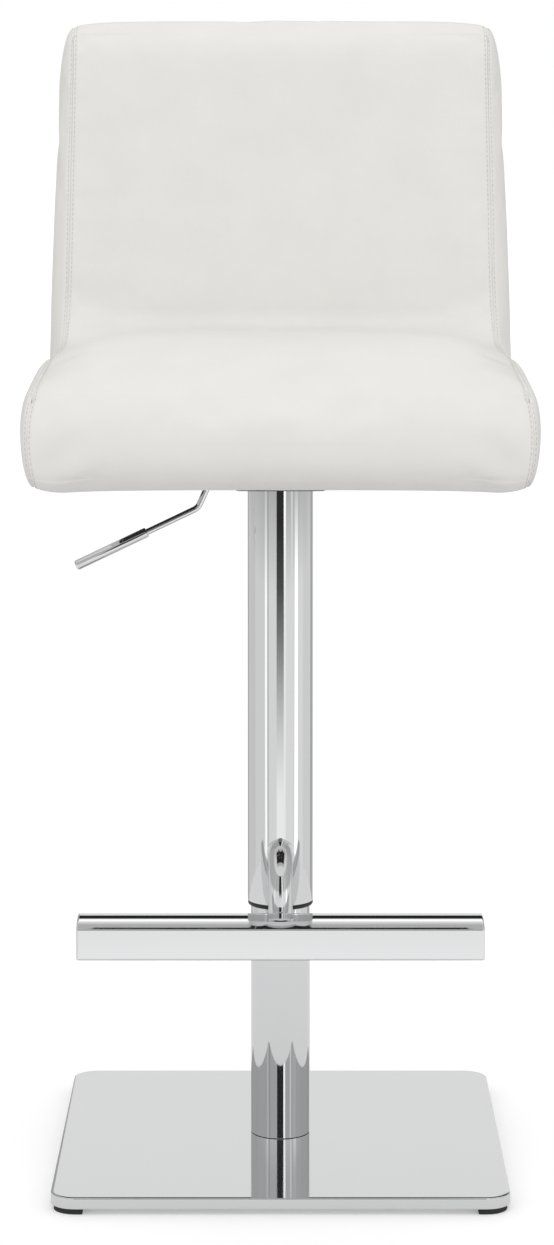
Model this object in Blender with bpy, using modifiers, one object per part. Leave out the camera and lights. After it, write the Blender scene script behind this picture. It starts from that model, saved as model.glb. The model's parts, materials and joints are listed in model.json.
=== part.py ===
"""Adjustable swivel bar stool: square base, gas-lift column, footrest and L-shaped padded seat."""

import math

import bmesh
import bpy
from mathutils import Matrix, Vector

# Metres, +Z up. The origin is on the floor, on the column's axis, and the sitter faces -Y.
GAP = 0.0003

# Base
BASE_SIDE = 0.400
BASE_THICKNESS = 0.010
BASE_CORNER_RADIUS = 0.022
BASE_EDGE_ROUND = 0.0014
BASE_CENTRE_HOLE_RADIUS = 0.010
SCREW_CLEARANCE = 0.0004
FOOT_HEIGHT = 0.005
FOOT_SIDE = 0.026
FOOT_SETBACK = 0.0025
FOOT_INNER_RADIUS = 0.002

# Column tubes
LOWER_TUBE_RADIUS = 0.027
LOWER_TUBE_WALL = 0.002
LOWER_TUBE_TOP = 0.415
OUTER_TUBE_RADIUS = 0.030
OUTER_TUBE_WALL = 0.0015
OUTER_TUBE_BOTTOM = 0.2306
TUBE_END_CHAMFER = 0.0005
RUNNING_CLEARANCE = 0.0003
GUIDE_RING_LIP = 0.0036
GUIDE_RING_SLEEVE = 0.032
BUSH_CAP = 0.006
BUSH_SKIRT = 0.020
BUSH_BORE_RADIUS = 0.020

# Spigot, swivel bearing and gas spring
SPIGOT_HEIGHT = 0.0197
SPIGOT_WEB = 0.006
SPIGOT_SCREW_CIRCLE = 0.0165
SPIGOT_SCREW_RADIUS = 0.003
SPIGOT_SCREW_HEAD_RADIUS = 0.0058
SPIGOT_SCREW_HEAD_HEIGHT = 0.0030
SPIGOT_SCREW_LENGTH = 0.022
SPIGOT_SCREW_HOLE_DEPTH = 0.0145
SPIGOT_TUBE_CLEARANCE = 0.0004
TAIL_CLEARANCE = 0.0005
WASHER_THICKNESS = 0.002
WASHER_RADIUS = 0.015
BALL_RADIUS = 0.002
BALL_CIRCLE_RADIUS = 0.011
BALL_COUNT = 8
CAGE_INNER_RADIUS = 0.0085
CAGE_OUTER_RADIUS = 0.0135
CAGE_HALF_THICKNESS = 0.0006
ROD_RADIUS = 0.005
ROD_TAIL_RADIUS = 0.004
ROD_TAIL_END = 0.0212
CLIP_GROOVE_DEPTH = 0.0008
CLIP_GROOVE_HEIGHT = 0.0016
CLIP_RADIUS = 0.0075
CLIP_PLAY = 0.00025
CLIP_MOUTH_HALF_WIDTH = 0.0026
ROD_TOP = 0.318
PISTON_BOTTOM = 0.298
PISTON_HEIGHT = 0.014
BUMP_STOP_HEIGHT = 0.020
BUMP_STOP_RADIUS = 0.012
CYLINDER_RADIUS = 0.014
CYLINDER_BORE_RADIUS = 0.0117
CYLINDER_BOTTOM = 0.270
CYLINDER_TAPER_START = 0.585
CYLINDER_TOP_RADIUS = 0.0132
CYLINDER_TOP = 0.6205
CYLINDER_HEAD = 0.0305
ROD_GUIDE_HEIGHT = 0.020

# Seat plate, cone socket and lift lever
SEAT_UNDERSIDE = 0.642
SHEET = 0.0025
CHANNEL_BEND_RADIUS = 0.0045
CHANNEL_BOTTOM = 0.6140
CHANNEL_HALF_WIDTH = 0.042
CHANNEL_FLANGE_REACH = 0.082
CHANNEL_LENGTH = 0.136
SOCKET_RADIUS = 0.018
SOCKET_BOTTOM = 0.590
SOCKET_TOP = 0.6195
COLLAR_RADIUS = 0.034
COLLAR_HEIGHT = 0.0018
COLLAR_CHAMFER = 0.0004
BOLT_X = 0.066
BOLT_Y = 0.055
BOLT_RADIUS = 0.0039
BOLT_HOLE_RADIUS = 0.0044
BOLT_HEAD_RADIUS = 0.0075
BOLT_HEAD_HEIGHT = 0.0053
BOLT_TIP = 0.661
BOLT_WASHER_RADIUS = 0.0085
BOLT_WASHER_THICKNESS = 0.0016
TEE_NUT_FLANGE_RADIUS = 0.011
TEE_NUT_FLANGE = 0.0015
TEE_NUT_BARREL_RADIUS = 0.0053
TEE_NUT_BARREL = 0.009
LEVER_RADIUS = 0.003
LEVER_HEIGHT = 0.629
LEVER_PIVOT_X = -0.028
LEVER_TIP_X = 0.004
LEVER_BEND_RADIUS = 0.010
LEVER_SHOULDER = (-0.0578, LEVER_HEIGHT)
LEVER_ELBOW = (-0.0754, 0.5910)
LEVER_END = (-0.1867, 0.5378)
GRIP_LENGTH = 0.072
GRIP_RADIUS = 0.0048
GRIP_END_WALL = 0.004
HUB_RADIUS = 0.005
HUB_HALF_LENGTH = 0.0045
PIN_RADIUS = 0.002
PIN_HEAD_RADIUS = 0.0034
PIN_HEAD_HEIGHT = 0.0012
PIN_TAIL = 0.0015
BRACKET_SHEET = 0.0023
BRACKET_PLAY = 0.0007
BRACKET_HALF_LENGTH = 0.0065
LEVER_SLOT_HALF_WIDTH = 0.0045
LEVER_SLOT_BELOW = 0.0015
LEVER_SLOT_ABOVE = 0.0040
BUTTON_RADIUS = 0.0039
BUTTON_BOTTOM = 0.6095
BUTTON_TRAVEL = 0.0039
VALVE_CLEARANCE = 0.0006

# Footrest
ARM_RADIUS = 0.011
ARM_WALL = 0.002
ARM_HEIGHT = 0.280
ARM_DROP_Y = -0.063
ARM_BEND_RADIUS = 0.033
ARM_END = 0.206
FOOTREST_WIDTH = 0.362
FOOTREST_DEPTH = 0.040
FOOTREST_BOTTOM = 0.2015
FOOTREST_CREST = 0.2361
FOOTREST_CREST_SETBACK = 0.0275
FOOTREST_CROWN_RADIUS = 0.060
FOOTREST_CROWN_STEPS = 9
FOOTREST_EDGE_ROUND = 0.0014
FOOTREST_WALL = 0.002
VENT_RADIUS = 0.004
VENT_X = 0.150

# Upholstery: half width at the lowest edge and at the top of the back, then the side outline
SEAT_HALF_WIDTH = 0.2255
BACK_TOP_HALF_WIDTH = 0.209
SEAT_LOWEST = 0.627
BACK_TOP = 1.035
BACK_REAR_TOP_Y = 0.2385
BACK_REAR_BOTTOM_Y = 0.192
COVER_THICKNESS = 0.002
COVER_EDGE_ROUND = 0.013
SIDE_OUTLINE = [
    (-0.2350, SEAT_LOWEST, 0.028),
    (-0.1850, SEAT_LOWEST, 0.010),
    (-0.1680, SEAT_UNDERSIDE, 0.010),
    (BACK_REAR_BOTTOM_Y, SEAT_UNDERSIDE, 0.045),
    (BACK_REAR_TOP_Y, BACK_TOP, 0.030),
    (0.1580, BACK_TOP, 0.030),
    (0.1270, 0.742, 0.035),
    (-0.1200, 0.757, 0.200),
    (-0.2350, 0.722, 0.050),
]
SHELL_THICKNESS = 0.012
SHELL_FRONT_Y = -0.155
SHELL_TOP = 1.000
SHELL_HALF_WIDTH = 0.190
BOTTOM_LINING_REAR_Y = 0.100
FOAM_SPLIT_INSET = 0.005
TEE_NUT_RECESS = 0.006

ROUND_SEGMENTS = 40
MEDIUM_SEGMENTS = 28
SMALL_SEGMENTS = 20
TINY_SEGMENTS = 16
SHARP_ANGLE = math.radians(35.0)
MERGE_DISTANCE = 0.00001
# How far a cutter reaches past the faces it cuts, and how far the widest cutters reach
OVERSHOOT = 0.010
FAR = 0.5


def clear_scene():
    for piece in list(bpy.data.objects):
        bpy.data.objects.remove(piece, do_unlink=True)


def new_collection(name):
    collection = bpy.data.collections.new(name)
    bpy.context.scene.collection.children.link(collection)
    return collection


clear_scene()
PARTS = new_collection("adjustable_swivel_stool")
CUTTERS = new_collection("cutters")


def new_material(name, colour, roughness, metallic):
    material = bpy.data.materials.new(name)
    material.use_nodes = True
    shader = material.node_tree.nodes["Principled BSDF"]
    shader.inputs["Base Color"].default_value = (*colour, 1.0)
    shader.inputs["Roughness"].default_value = roughness
    shader.inputs["Metallic"].default_value = metallic
    return material


CHROME = new_material("polished_chrome", (0.82, 0.83, 0.84), 0.06, 1.0)
STEEL = new_material("plain_steel", (0.55, 0.56, 0.58), 0.35, 1.0)
ZINC = new_material("zinc_plated_steel", (0.66, 0.66, 0.62), 0.30, 1.0)
DARK_STEEL = new_material("black_painted_steel", (0.03, 0.03, 0.03), 0.45, 0.0)
NYLON = new_material("black_nylon", (0.02, 0.02, 0.02), 0.45, 0.0)
RUBBER = new_material("black_rubber", (0.03, 0.03, 0.03), 0.80, 0.0)
PLYWOOD = new_material("plywood", (0.62, 0.46, 0.29), 0.65, 0.0)
FOAM = new_material("upholstery_foam", (0.88, 0.84, 0.70), 0.95, 0.0)
LEATHERETTE = new_material("white_leatherette", (0.86, 0.86, 0.84), 0.50, 0.0)
LINING = new_material("black_lining", (0.02, 0.02, 0.02), 0.90, 0.0)


def add_piece(name, mesh, material, collection=None):
    piece = bpy.data.objects.new(name, mesh)
    (collection or PARTS).objects.link(piece)
    if material is not None:
        mesh.materials.clear()
        mesh.materials.append(material)
    return piece


def evaluated_mesh(piece):
    bpy.context.view_layer.update()
    depsgraph = bpy.context.evaluated_depsgraph_get()
    return bpy.data.meshes.new_from_object(piece.evaluated_get(depsgraph), depsgraph=depsgraph)


def weld(mesh):
    work = bmesh.new()
    work.from_mesh(mesh)
    bmesh.ops.remove_doubles(work, verts=work.verts, dist=MERGE_DISTANCE)
    bmesh.ops.recalc_face_normals(work, faces=work.faces)
    work.to_mesh(mesh)
    work.free()


def shade(mesh):
    mesh.shade_smooth()
    mesh.set_sharp_from_angle(angle=SHARP_ANGLE)


def realise(piece):
    """Apply a piece's modifiers, then shade its round faces smooth."""
    mesh = evaluated_mesh(piece)
    piece.modifiers.clear()
    piece.data = mesh
    shade(mesh)
    return piece


def turned(name, profile, material, segments=ROUND_SEGMENTS, closed=True, collection=None):
    """A profile of (radius, height) points, listed down its outer side, turned about Z."""
    mesh = bpy.data.meshes.new(name)
    edges = [(i, i + 1) for i in range(len(profile) - 1)]
    if closed:
        edges.append((len(profile) - 1, 0))
    mesh.from_pydata([(radius, 0.0, height) for radius, height in profile], edges, [])
    piece = add_piece(name, mesh, None, collection)
    screw = piece.modifiers.new("turn", "SCREW")
    screw.steps = segments
    screw.render_steps = segments
    screw.use_merge_vertices = True
    screw.merge_threshold = MERGE_DISTANCE
    realise(piece)
    piece.data.materials.clear()
    piece.data.materials.append(material)
    return piece


def ring(name, inner, outer, low, high, material, segments=ROUND_SEGMENTS, chamfer=0.0, collection=None):
    """A plain ring, with an optional chamfer on its outer edges."""
    profile = [(inner, high), (outer - chamfer, high)]
    if chamfer:
        profile += [(outer, high - chamfer), (outer, low + chamfer)]
    profile += [(outer - chamfer, low), (inner, low)]
    return turned(name, profile, material, segments, True, collection)


def unit(vector):
    return vector / vector.length


def rounded_path(corners, closed, degrees_per_step=15.0):
    """Points along straight runs between (u, v, radius) corners, with an arc at each rounded corner."""
    points = []
    count = len(corners)
    for index, (u, v, radius) in enumerate(corners):
        corner = Vector((u, v))
        at_end = not closed and index in (0, count - 1)
        if at_end or radius <= 0.0:
            points.append(corner)
            continue
        before = unit(Vector(corners[index - 1][:2]) - corner)
        after = unit(Vector(corners[(index + 1) % count][:2]) - corner)
        half_angle = before.angle(after) / 2.0
        centre = corner + unit(before + after) * (radius / math.sin(half_angle))
        start = corner + before * (radius / math.tan(half_angle)) - centre
        turn = math.pi - 2.0 * half_angle
        side = -1.0 if before.x * after.y - before.y * after.x > 0.0 else 1.0
        steps = max(2, round(math.degrees(turn) / degrees_per_step))
        for step in range(steps + 1):
            swing = Matrix.Rotation(side * turn * step / steps, 2)
            points.append(centre + swing @ start)
    return points


def offset_corners(corners, inset):
    """Move every edge of a counter-clockwise outline inwards by the inset, keeping its arcs concentric."""
    moved = []
    count = len(corners)
    for index, (u, v, radius) in enumerate(corners):
        corner = Vector((u, v))
        along = unit(corner - Vector(corners[index - 1][:2]))
        onward = unit(Vector(corners[(index + 1) % count][:2]) - corner)
        normal = Vector((-along.y, along.x))
        next_normal = Vector((-onward.y, onward.x))
        bisector = unit(normal + next_normal)
        point = corner + bisector * (inset / bisector.dot(normal))
        convex = along.x * onward.y - along.y * onward.x > 0.0
        moved.append((point.x, point.y, max(0.0005, radius - inset if convex else radius + inset)))
    return moved


def to_x(u, v, w):
    return Vector((w, u, v))


def to_y(u, v, w):
    return Vector((u, w, v))


def to_z(u, v, w):
    return Vector((u, v, w))


def prism_mesh(name, outline, low, high, to_world):
    """Extrude a flat outline of (u, v) points from w = low to w = high."""
    work = bmesh.new()
    bottom = [work.verts.new(to_world(u, v, low)) for u, v in outline]
    face = work.faces.new(bottom)
    sweep = bmesh.ops.extrude_face_region(work, geom=[face])
    shift = to_world(0.0, 0.0, high - low)
    moved = [item for item in sweep["geom"] if isinstance(item, bmesh.types.BMVert)]
    bmesh.ops.translate(work, verts=moved, vec=shift)
    bmesh.ops.recalc_face_normals(work, faces=work.faces)
    mesh = bpy.data.meshes.new(name)
    work.to_mesh(mesh)
    work.free()
    return mesh


def prism(name, outline, low, high, to_world, material, collection=None):
    return add_piece(name, prism_mesh(name, outline, low, high, to_world), material, collection)


def rounded_square(side, radius):
    half = side / 2.0
    corners = [(-half, -half), (half, -half), (half, half), (-half, half)]
    return rounded_path([(*corner, radius) for corner in corners], True)


def round_edges(piece, width, segments):
    bevel = piece.modifiers.new("round_edges", "BEVEL")
    bevel.width = width
    bevel.segments = segments
    bevel.limit_method = "ANGLE"
    bevel.angle_limit = math.radians(50.0)
    return realise(piece)


def hide_cutter(piece):
    piece.hide_render = True
    piece.display_type = "WIRE"
    return piece


def boolean(piece, tool, operation):
    modifier = piece.modifiers.new(operation.lower(), "BOOLEAN")
    modifier.operation = operation
    modifier.object = tool
    modifier.solver = "EXACT"
    return realise(piece)


def cut(piece, *tools):
    for tool in tools:
        hide_cutter(tool)
        boolean(piece, tool, "DIFFERENCE")
    return piece


def cylinder_cutter(name, radius, low, high, places, to_world=to_z, segments=SMALL_SEGMENTS):
    """Cylinders at several (u, v) places, along the axis that to_world gives for w."""
    work = bmesh.new()
    for u, v in places:
        ends = (to_world(u, v, low), to_world(u, v, high))
        direction = unit(ends[1] - ends[0])
        turn = direction.to_track_quat("Z", "Y").to_matrix().to_4x4()
        place = Matrix.Translation((ends[0] + ends[1]) / 2.0) @ turn
        bmesh.ops.create_cone(
            work,
            cap_ends=True,
            segments=segments,
            radius1=radius,
            radius2=radius,
            depth=high - low,
            matrix=place,
        )
    mesh = bpy.data.meshes.new(name)
    work.to_mesh(mesh)
    work.free()
    return add_piece(name, mesh, None, CUTTERS)


def box(name, low, high, material, collection=None):
    work = bmesh.new()
    size = Vector(high) - Vector(low)
    middle = (Vector(high) + Vector(low)) / 2.0
    place = Matrix.Translation(middle) @ Matrix.Diagonal((*size, 1.0))
    bmesh.ops.create_cube(work, size=1.0, matrix=place)
    mesh = bpy.data.meshes.new(name)
    work.to_mesh(mesh)
    work.free()
    return add_piece(name, mesh, material, collection)


def rod_along(name, points, radius, resolution, material, collection=None):
    """A round rod or tube outline along a list of world points, as a welded mesh."""
    curve = bpy.data.curves.new(name + "_path", "CURVE")
    curve.dimensions = "3D"
    curve.bevel_depth = radius
    curve.bevel_resolution = resolution
    curve.use_fill_caps = True
    spline = curve.splines.new("POLY")
    spline.points.add(len(points) - 1)
    for target, point in zip(spline.points, points):
        target.co = (*point, 1.0)
    guide = bpy.data.objects.new(name + "_guide", curve)
    PARTS.objects.link(guide)
    mesh = evaluated_mesh(guide)
    world = guide.matrix_world.copy()
    bpy.data.objects.remove(guide, do_unlink=True)
    weld(mesh)
    mesh.name = name
    piece = add_piece(name, mesh, material, collection)
    piece.matrix_world = world
    shade(mesh)
    return piece


def make_base():
    top = FOOT_HEIGHT + BASE_THICKNESS
    outline = rounded_square(BASE_SIDE, BASE_CORNER_RADIUS)
    plate = prism("base_plate", outline, FOOT_HEIGHT, top, to_z, CHROME)
    round_edges(plate, BASE_EDGE_ROUND, 2)
    sunk = SPIGOT_SCREW_HEAD_RADIUS + SCREW_CLEARANCE
    clearance = SPIGOT_SCREW_RADIUS + SCREW_CLEARANCE
    depth = FOOT_HEIGHT + SPIGOT_SCREW_HEAD_HEIGHT + SCREW_CLEARANCE
    profile = [
        (0.0, top + OVERSHOOT),
        (clearance, top + OVERSHOOT),
        (clearance, depth),
        (sunk, FOOT_HEIGHT),
        (sunk, 0.0),
        (0.0, 0.0),
    ]
    for index, (x, y) in enumerate(screw_places()):
        sink = turned(f"screw_sink_{index + 1}", profile, NYLON, SMALL_SEGMENTS, False, CUTTERS)
        sink.location = (x, y, 0.0)
        cut(plate, sink)
    hole = BASE_CENTRE_HOLE_RADIUS
    cut(plate, cylinder_cutter("base_centre_hole", hole, 0.0, top + OVERSHOOT, [(0.0, 0.0)]))
    corner = BASE_SIDE / 2.0 - FOOT_SETBACK
    for side_x, side_name in ((-1, "right"), (1, "left")):
        for side_y, end_name in ((-1, "front"), (1, "rear")):
            inner = corner - FOOT_SIDE
            outer_radius = BASE_CORNER_RADIUS - FOOT_SETBACK
            corners = [
                (inner, inner, FOOT_INNER_RADIUS),
                (corner, inner, FOOT_INNER_RADIUS),
                (corner, corner, outer_radius),
                (inner, corner, FOOT_INNER_RADIUS),
            ]
            pad = [(side_x * u, side_y * v) for u, v in rounded_path(corners, True)]
            prism(f"foot_{end_name}_{side_name}", pad, 0.0, FOOT_HEIGHT - GAP, to_z, RUBBER)


def screw_places():
    reach = SPIGOT_SCREW_CIRCLE / math.sqrt(2.0)
    return [(sx * reach, sy * reach) for sx in (-1, 1) for sy in (-1, 1)]


def spigot_bottom():
    return FOOT_HEIGHT + BASE_THICKNESS + GAP


def make_spigot():
    """The turned steel spigot that holds the lower tube upright and carries the swivel bearing."""
    low = spigot_bottom()
    high = low + SPIGOT_HEIGHT
    outer = LOWER_TUBE_RADIUS - LOWER_TUBE_WALL - SPIGOT_TUBE_CLEARANCE
    hole = ROD_TAIL_RADIUS + TAIL_CLEARANCE
    recess = BASE_CENTRE_HOLE_RADIUS
    web = high - SPIGOT_WEB
    profile = [
        (hole, high),
        (outer - 0.001, high),
        (outer, high - 0.001),
        (outer, low),
        (recess, low),
        (recess, web),
        (hole, web),
    ]
    spigot = turned("column_spigot", profile, STEEL, MEDIUM_SEGMENTS)
    blind = low + SPIGOT_SCREW_HOLE_DEPTH
    bore = SPIGOT_SCREW_RADIUS + GAP
    holes = cylinder_cutter("spigot_screw_holes", bore, 0.0, blind, screw_places(), to_z, TINY_SEGMENTS)
    cut(spigot, holes)
    head_low = FOOT_HEIGHT + GAP
    head_high = head_low + SPIGOT_SCREW_HEAD_HEIGHT
    tip = head_low + SPIGOT_SCREW_LENGTH
    shank = SPIGOT_SCREW_RADIUS
    screw_profile = [(0.0, tip), (shank - 0.0005, tip), (shank, tip - 0.0008), (shank, head_high)]
    screw_profile += [(SPIGOT_SCREW_HEAD_RADIUS, head_low), (0.0, head_low)]
    pattern = turned("spigot_screw_1", screw_profile, ZINC, SMALL_SEGMENTS, False)
    places = screw_places()
    pattern.location = (*places[0], 0.0)
    for index, (x, y) in enumerate(places[1:]):
        copy = add_piece(f"spigot_screw_{index + 2}", pattern.data, None)
        copy.location = (x, y, 0.0)


def make_bearing():
    """The thrust bearing under the piston rod's shoulder: two washers and a ball cage."""
    lower = spigot_bottom() + SPIGOT_HEIGHT + GAP
    lower_high = lower + WASHER_THICKNESS
    bore = ROD_TAIL_RADIUS + TAIL_CLEARANCE
    ring("thrust_washer_lower", bore, WASHER_RADIUS, lower, lower_high, STEEL, MEDIUM_SEGMENTS)
    middle = lower_high + GAP + BALL_RADIUS
    cage_low = middle - CAGE_HALF_THICKNESS
    cage_high = middle + CAGE_HALF_THICKNESS
    inner = CAGE_INNER_RADIUS
    outer = CAGE_OUTER_RADIUS
    cage = ring("thrust_ball_cage", inner, outer, cage_low, cage_high, ZINC, MEDIUM_SEGMENTS)
    balls = bmesh.new()
    for index in range(BALL_COUNT):
        angle = 2.0 * math.pi * index / BALL_COUNT
        place = (BALL_CIRCLE_RADIUS * math.cos(angle), BALL_CIRCLE_RADIUS * math.sin(angle), middle)
        bmesh.ops.create_uvsphere(
            balls, u_segments=8, v_segments=4, radius=BALL_RADIUS, matrix=Matrix.Translation(place)
        )
    mesh = bpy.data.meshes.new("thrust_balls")
    balls.to_mesh(mesh)
    balls.free()
    tool = hide_cutter(add_piece("thrust_balls", mesh, None, CUTTERS))
    boolean(cage, tool, "UNION")
    upper = middle + BALL_RADIUS + GAP
    upper_high = upper + WASHER_THICKNESS
    ring("thrust_washer_upper", bore, WASHER_RADIUS, upper, upper_high, STEEL, MEDIUM_SEGMENTS)
    return upper_high + GAP


def make_piston_rod(shoulder):
    """The gas spring's rod, which stands on the bearing and is clipped under the spigot's web."""
    groove_high = spigot_bottom() + SPIGOT_HEIGHT - SPIGOT_WEB - CLIP_GROOVE_DEPTH
    groove_low = groove_high - CLIP_GROOVE_HEIGHT
    groove = ROD_TAIL_RADIUS - CLIP_GROOVE_DEPTH
    tail = ROD_TAIL_RADIUS
    profile = [
        (0.0, ROD_TOP),
        (ROD_RADIUS - 0.001, ROD_TOP),
        (ROD_RADIUS, ROD_TOP - 0.001),
        (ROD_RADIUS, shoulder),
        (tail, shoulder),
        (tail, groove_high),
        (groove, groove_high),
        (groove, groove_low),
        (tail, groove_low),
        (tail, ROD_TAIL_END),
        (0.0, ROD_TAIL_END),
    ]
    turned("piston_rod", profile, CHROME, SMALL_SEGMENTS, False)
    clip_low = groove_low + CLIP_PLAY
    clip_high = groove_high - CLIP_PLAY
    clip = ring("retaining_clip", groove + GAP, CLIP_RADIUS, clip_low, clip_high, STEEL, SMALL_SEGMENTS)
    mouth_low = (-CLIP_MOUTH_HALF_WIDTH, -CLIP_RADIUS - OVERSHOOT, clip_low - OVERSHOOT)
    mouth_high = (CLIP_MOUTH_HALF_WIDTH, 0.0, clip_high + OVERSHOOT)
    cut(clip, box("clip_mouth", mouth_low, mouth_high, None, CUTTERS))
    low = shoulder + GAP
    high = low + BUMP_STOP_HEIGHT
    ring("bump_stop", ROD_RADIUS + GAP, BUMP_STOP_RADIUS, low, high, RUBBER, MEDIUM_SEGMENTS, 0.002)
    bore = CYLINDER_BORE_RADIUS - GAP
    top = PISTON_BOTTOM + PISTON_HEIGHT
    ring("piston", ROD_RADIUS + GAP, bore, PISTON_BOTTOM, top, NYLON, MEDIUM_SEGMENTS, 0.001)


def make_gas_cylinder():
    head_low = CYLINDER_TOP - CYLINDER_HEAD
    valve_hole = BUTTON_RADIUS + GAP
    valve_floor = BUTTON_BOTTOM - BUTTON_TRAVEL - VALVE_CLEARANCE
    profile = [
        (0.0, valve_floor),
        (valve_hole, valve_floor),
        (valve_hole, CYLINDER_TOP),
        (CYLINDER_TOP_RADIUS, CYLINDER_TOP),
        (CYLINDER_RADIUS, CYLINDER_TAPER_START),
        (CYLINDER_RADIUS, CYLINDER_BOTTOM),
        (CYLINDER_BORE_RADIUS, CYLINDER_BOTTOM),
        (CYLINDER_BORE_RADIUS, head_low),
        (0.0, head_low),
    ]
    turned("gas_cylinder", profile, DARK_STEEL, MEDIUM_SEGMENTS, False)
    low = CYLINDER_BOTTOM + GAP
    high = low + ROD_GUIDE_HEIGHT
    guide_outer = CYLINDER_BORE_RADIUS - GAP
    ring("cylinder_rod_guide", ROD_RADIUS + GAP, guide_outer, low, high, NYLON, MEDIUM_SEGMENTS)
    button_top = LEVER_HEIGHT - LEVER_RADIUS - GAP
    button = [
        (0.0, button_top),
        (BUTTON_RADIUS - 0.0005, button_top),
        (BUTTON_RADIUS, button_top - 0.0006),
        (BUTTON_RADIUS, BUTTON_BOTTOM),
        (0.0, BUTTON_BOTTOM),
    ]
    turned("release_button", button, ZINC, SMALL_SEGMENTS, False)


def chrome_tube(name, wall, radius, low, high):
    return ring(name, radius - wall, radius, low, high, CHROME, ROUND_SEGMENTS, TUBE_END_CHAMFER)


def make_column():
    chrome_tube("lower_tube", LOWER_TUBE_WALL, LOWER_TUBE_RADIUS, spigot_bottom(), LOWER_TUBE_TOP)
    outer_top = CHANNEL_BOTTOM - GAP
    chrome_tube("outer_tube", OUTER_TUBE_WALL, OUTER_TUBE_RADIUS, OUTER_TUBE_BOTTOM, outer_top)
    bore = LOWER_TUBE_RADIUS - LOWER_TUBE_WALL
    outer_bore = OUTER_TUBE_RADIUS - OUTER_TUBE_WALL
    hug = OUTER_TUBE_RADIUS + GAP
    collar = COLLAR_RADIUS
    collar_low = outer_top - COLLAR_HEIGHT
    ring("tube_collar", hug, collar, collar_low, outer_top, DARK_STEEL, ROUND_SEGMENTS, COLLAR_CHAMFER)
    lip_top = OUTER_TUBE_BOTTOM - GAP
    lip_bottom = lip_top - GUIDE_RING_LIP
    sleeve_top = lip_top + GUIDE_RING_SLEEVE
    inner = LOWER_TUBE_RADIUS + RUNNING_CLEARANCE
    sleeve_outer = outer_bore - GAP
    lip = OUTER_TUBE_RADIUS - GAP
    profile = [(inner, sleeve_top), (sleeve_outer, sleeve_top), (sleeve_outer, lip_top), (lip, lip_top)]
    profile += [(lip, lip_bottom + 0.0014), (lip - 0.0012, lip_bottom), (inner, lip_bottom)]
    turned("guide_ring", profile, NYLON)
    cap_low = LOWER_TUBE_TOP + GAP
    cap_high = cap_low + BUSH_CAP
    skirt = bore - GAP
    bush = [
        (BUSH_BORE_RADIUS, cap_high),
        (sleeve_outer - 0.001, cap_high),
        (sleeve_outer, cap_high - 0.001),
        (sleeve_outer, cap_low),
        (skirt, cap_low),
        (skirt, cap_low - BUSH_SKIRT),
        (BUSH_BORE_RADIUS, cap_low - BUSH_SKIRT),
    ]
    turned("upper_guide_bush", bush, NYLON)


def taper_radius(height):
    """The gas cylinder's radius along its tapered head."""
    share = (height - CYLINDER_TAPER_START) / (CYLINDER_TOP - CYLINDER_TAPER_START)
    return CYLINDER_RADIUS + (CYLINDER_TOP_RADIUS - CYLINDER_RADIUS) * share


def bolt_places():
    return [(sx * BOLT_X, sy * BOLT_Y) for sx in (-1, 1) for sy in (-1, 1)]


def make_seat_channel():
    """The pressed hat-section channel under the seat, with the cone socket for the gas cylinder."""
    top = SEAT_UNDERSIDE - GAP
    low = CHANNEL_BOTTOM
    wall = CHANNEL_HALF_WIDTH
    reach = CHANNEL_FLANGE_REACH
    bend = CHANNEL_BEND_RADIUS
    tight = bend - SHEET
    right_half = [
        (wall, low, bend),
        (wall, top - SHEET, tight),
        (reach, top - SHEET, 0.0),
        (reach, top, 0.0),
        (wall - SHEET, top, bend),
        (wall - SHEET, low + SHEET, tight),
    ]
    left_half = [(-u, v, radius) for u, v, radius in reversed(right_half)]
    outline = rounded_path(right_half + left_half, True, 30.0)
    half = CHANNEL_LENGTH / 2.0
    channel = prism("seat_channel", outline, -half, half, to_y, DARK_STEEL)
    flange_low = top - OVERSHOOT
    flange_high = top + OVERSHOOT
    holes = cylinder_cutter("channel_bolt_holes", BOLT_HOLE_RADIUS, flange_low, flange_high, bolt_places())
    socket_hole = cylinder_cutter(
        "channel_socket_hole",
        SOCKET_RADIUS + GAP,
        low - OVERSHOOT,
        low + OVERSHOOT,
        [(0.0, 0.0)],
        to_z,
        MEDIUM_SEGMENTS,
    )
    slot_low = LEVER_HEIGHT - LEVER_RADIUS - LEVER_SLOT_BELOW
    slot_high = LEVER_HEIGHT + LEVER_RADIUS + LEVER_SLOT_ABOVE
    slot_outside = (-wall - OVERSHOOT, -LEVER_SLOT_HALF_WIDTH, slot_low)
    slot_inside = (-wall + OVERSHOOT, LEVER_SLOT_HALF_WIDTH, slot_high)
    slot = box("lever_slot", slot_outside, slot_inside, None, CUTTERS)
    cut(channel, holes, socket_hole, slot)
    socket = [
        (taper_radius(SOCKET_TOP) + GAP, SOCKET_TOP),
        (SOCKET_RADIUS, SOCKET_TOP),
        (SOCKET_RADIUS, SOCKET_BOTTOM),
        (taper_radius(SOCKET_BOTTOM) + GAP, SOCKET_BOTTOM),
    ]
    turned("cone_socket", socket, STEEL, MEDIUM_SEGMENTS)


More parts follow.
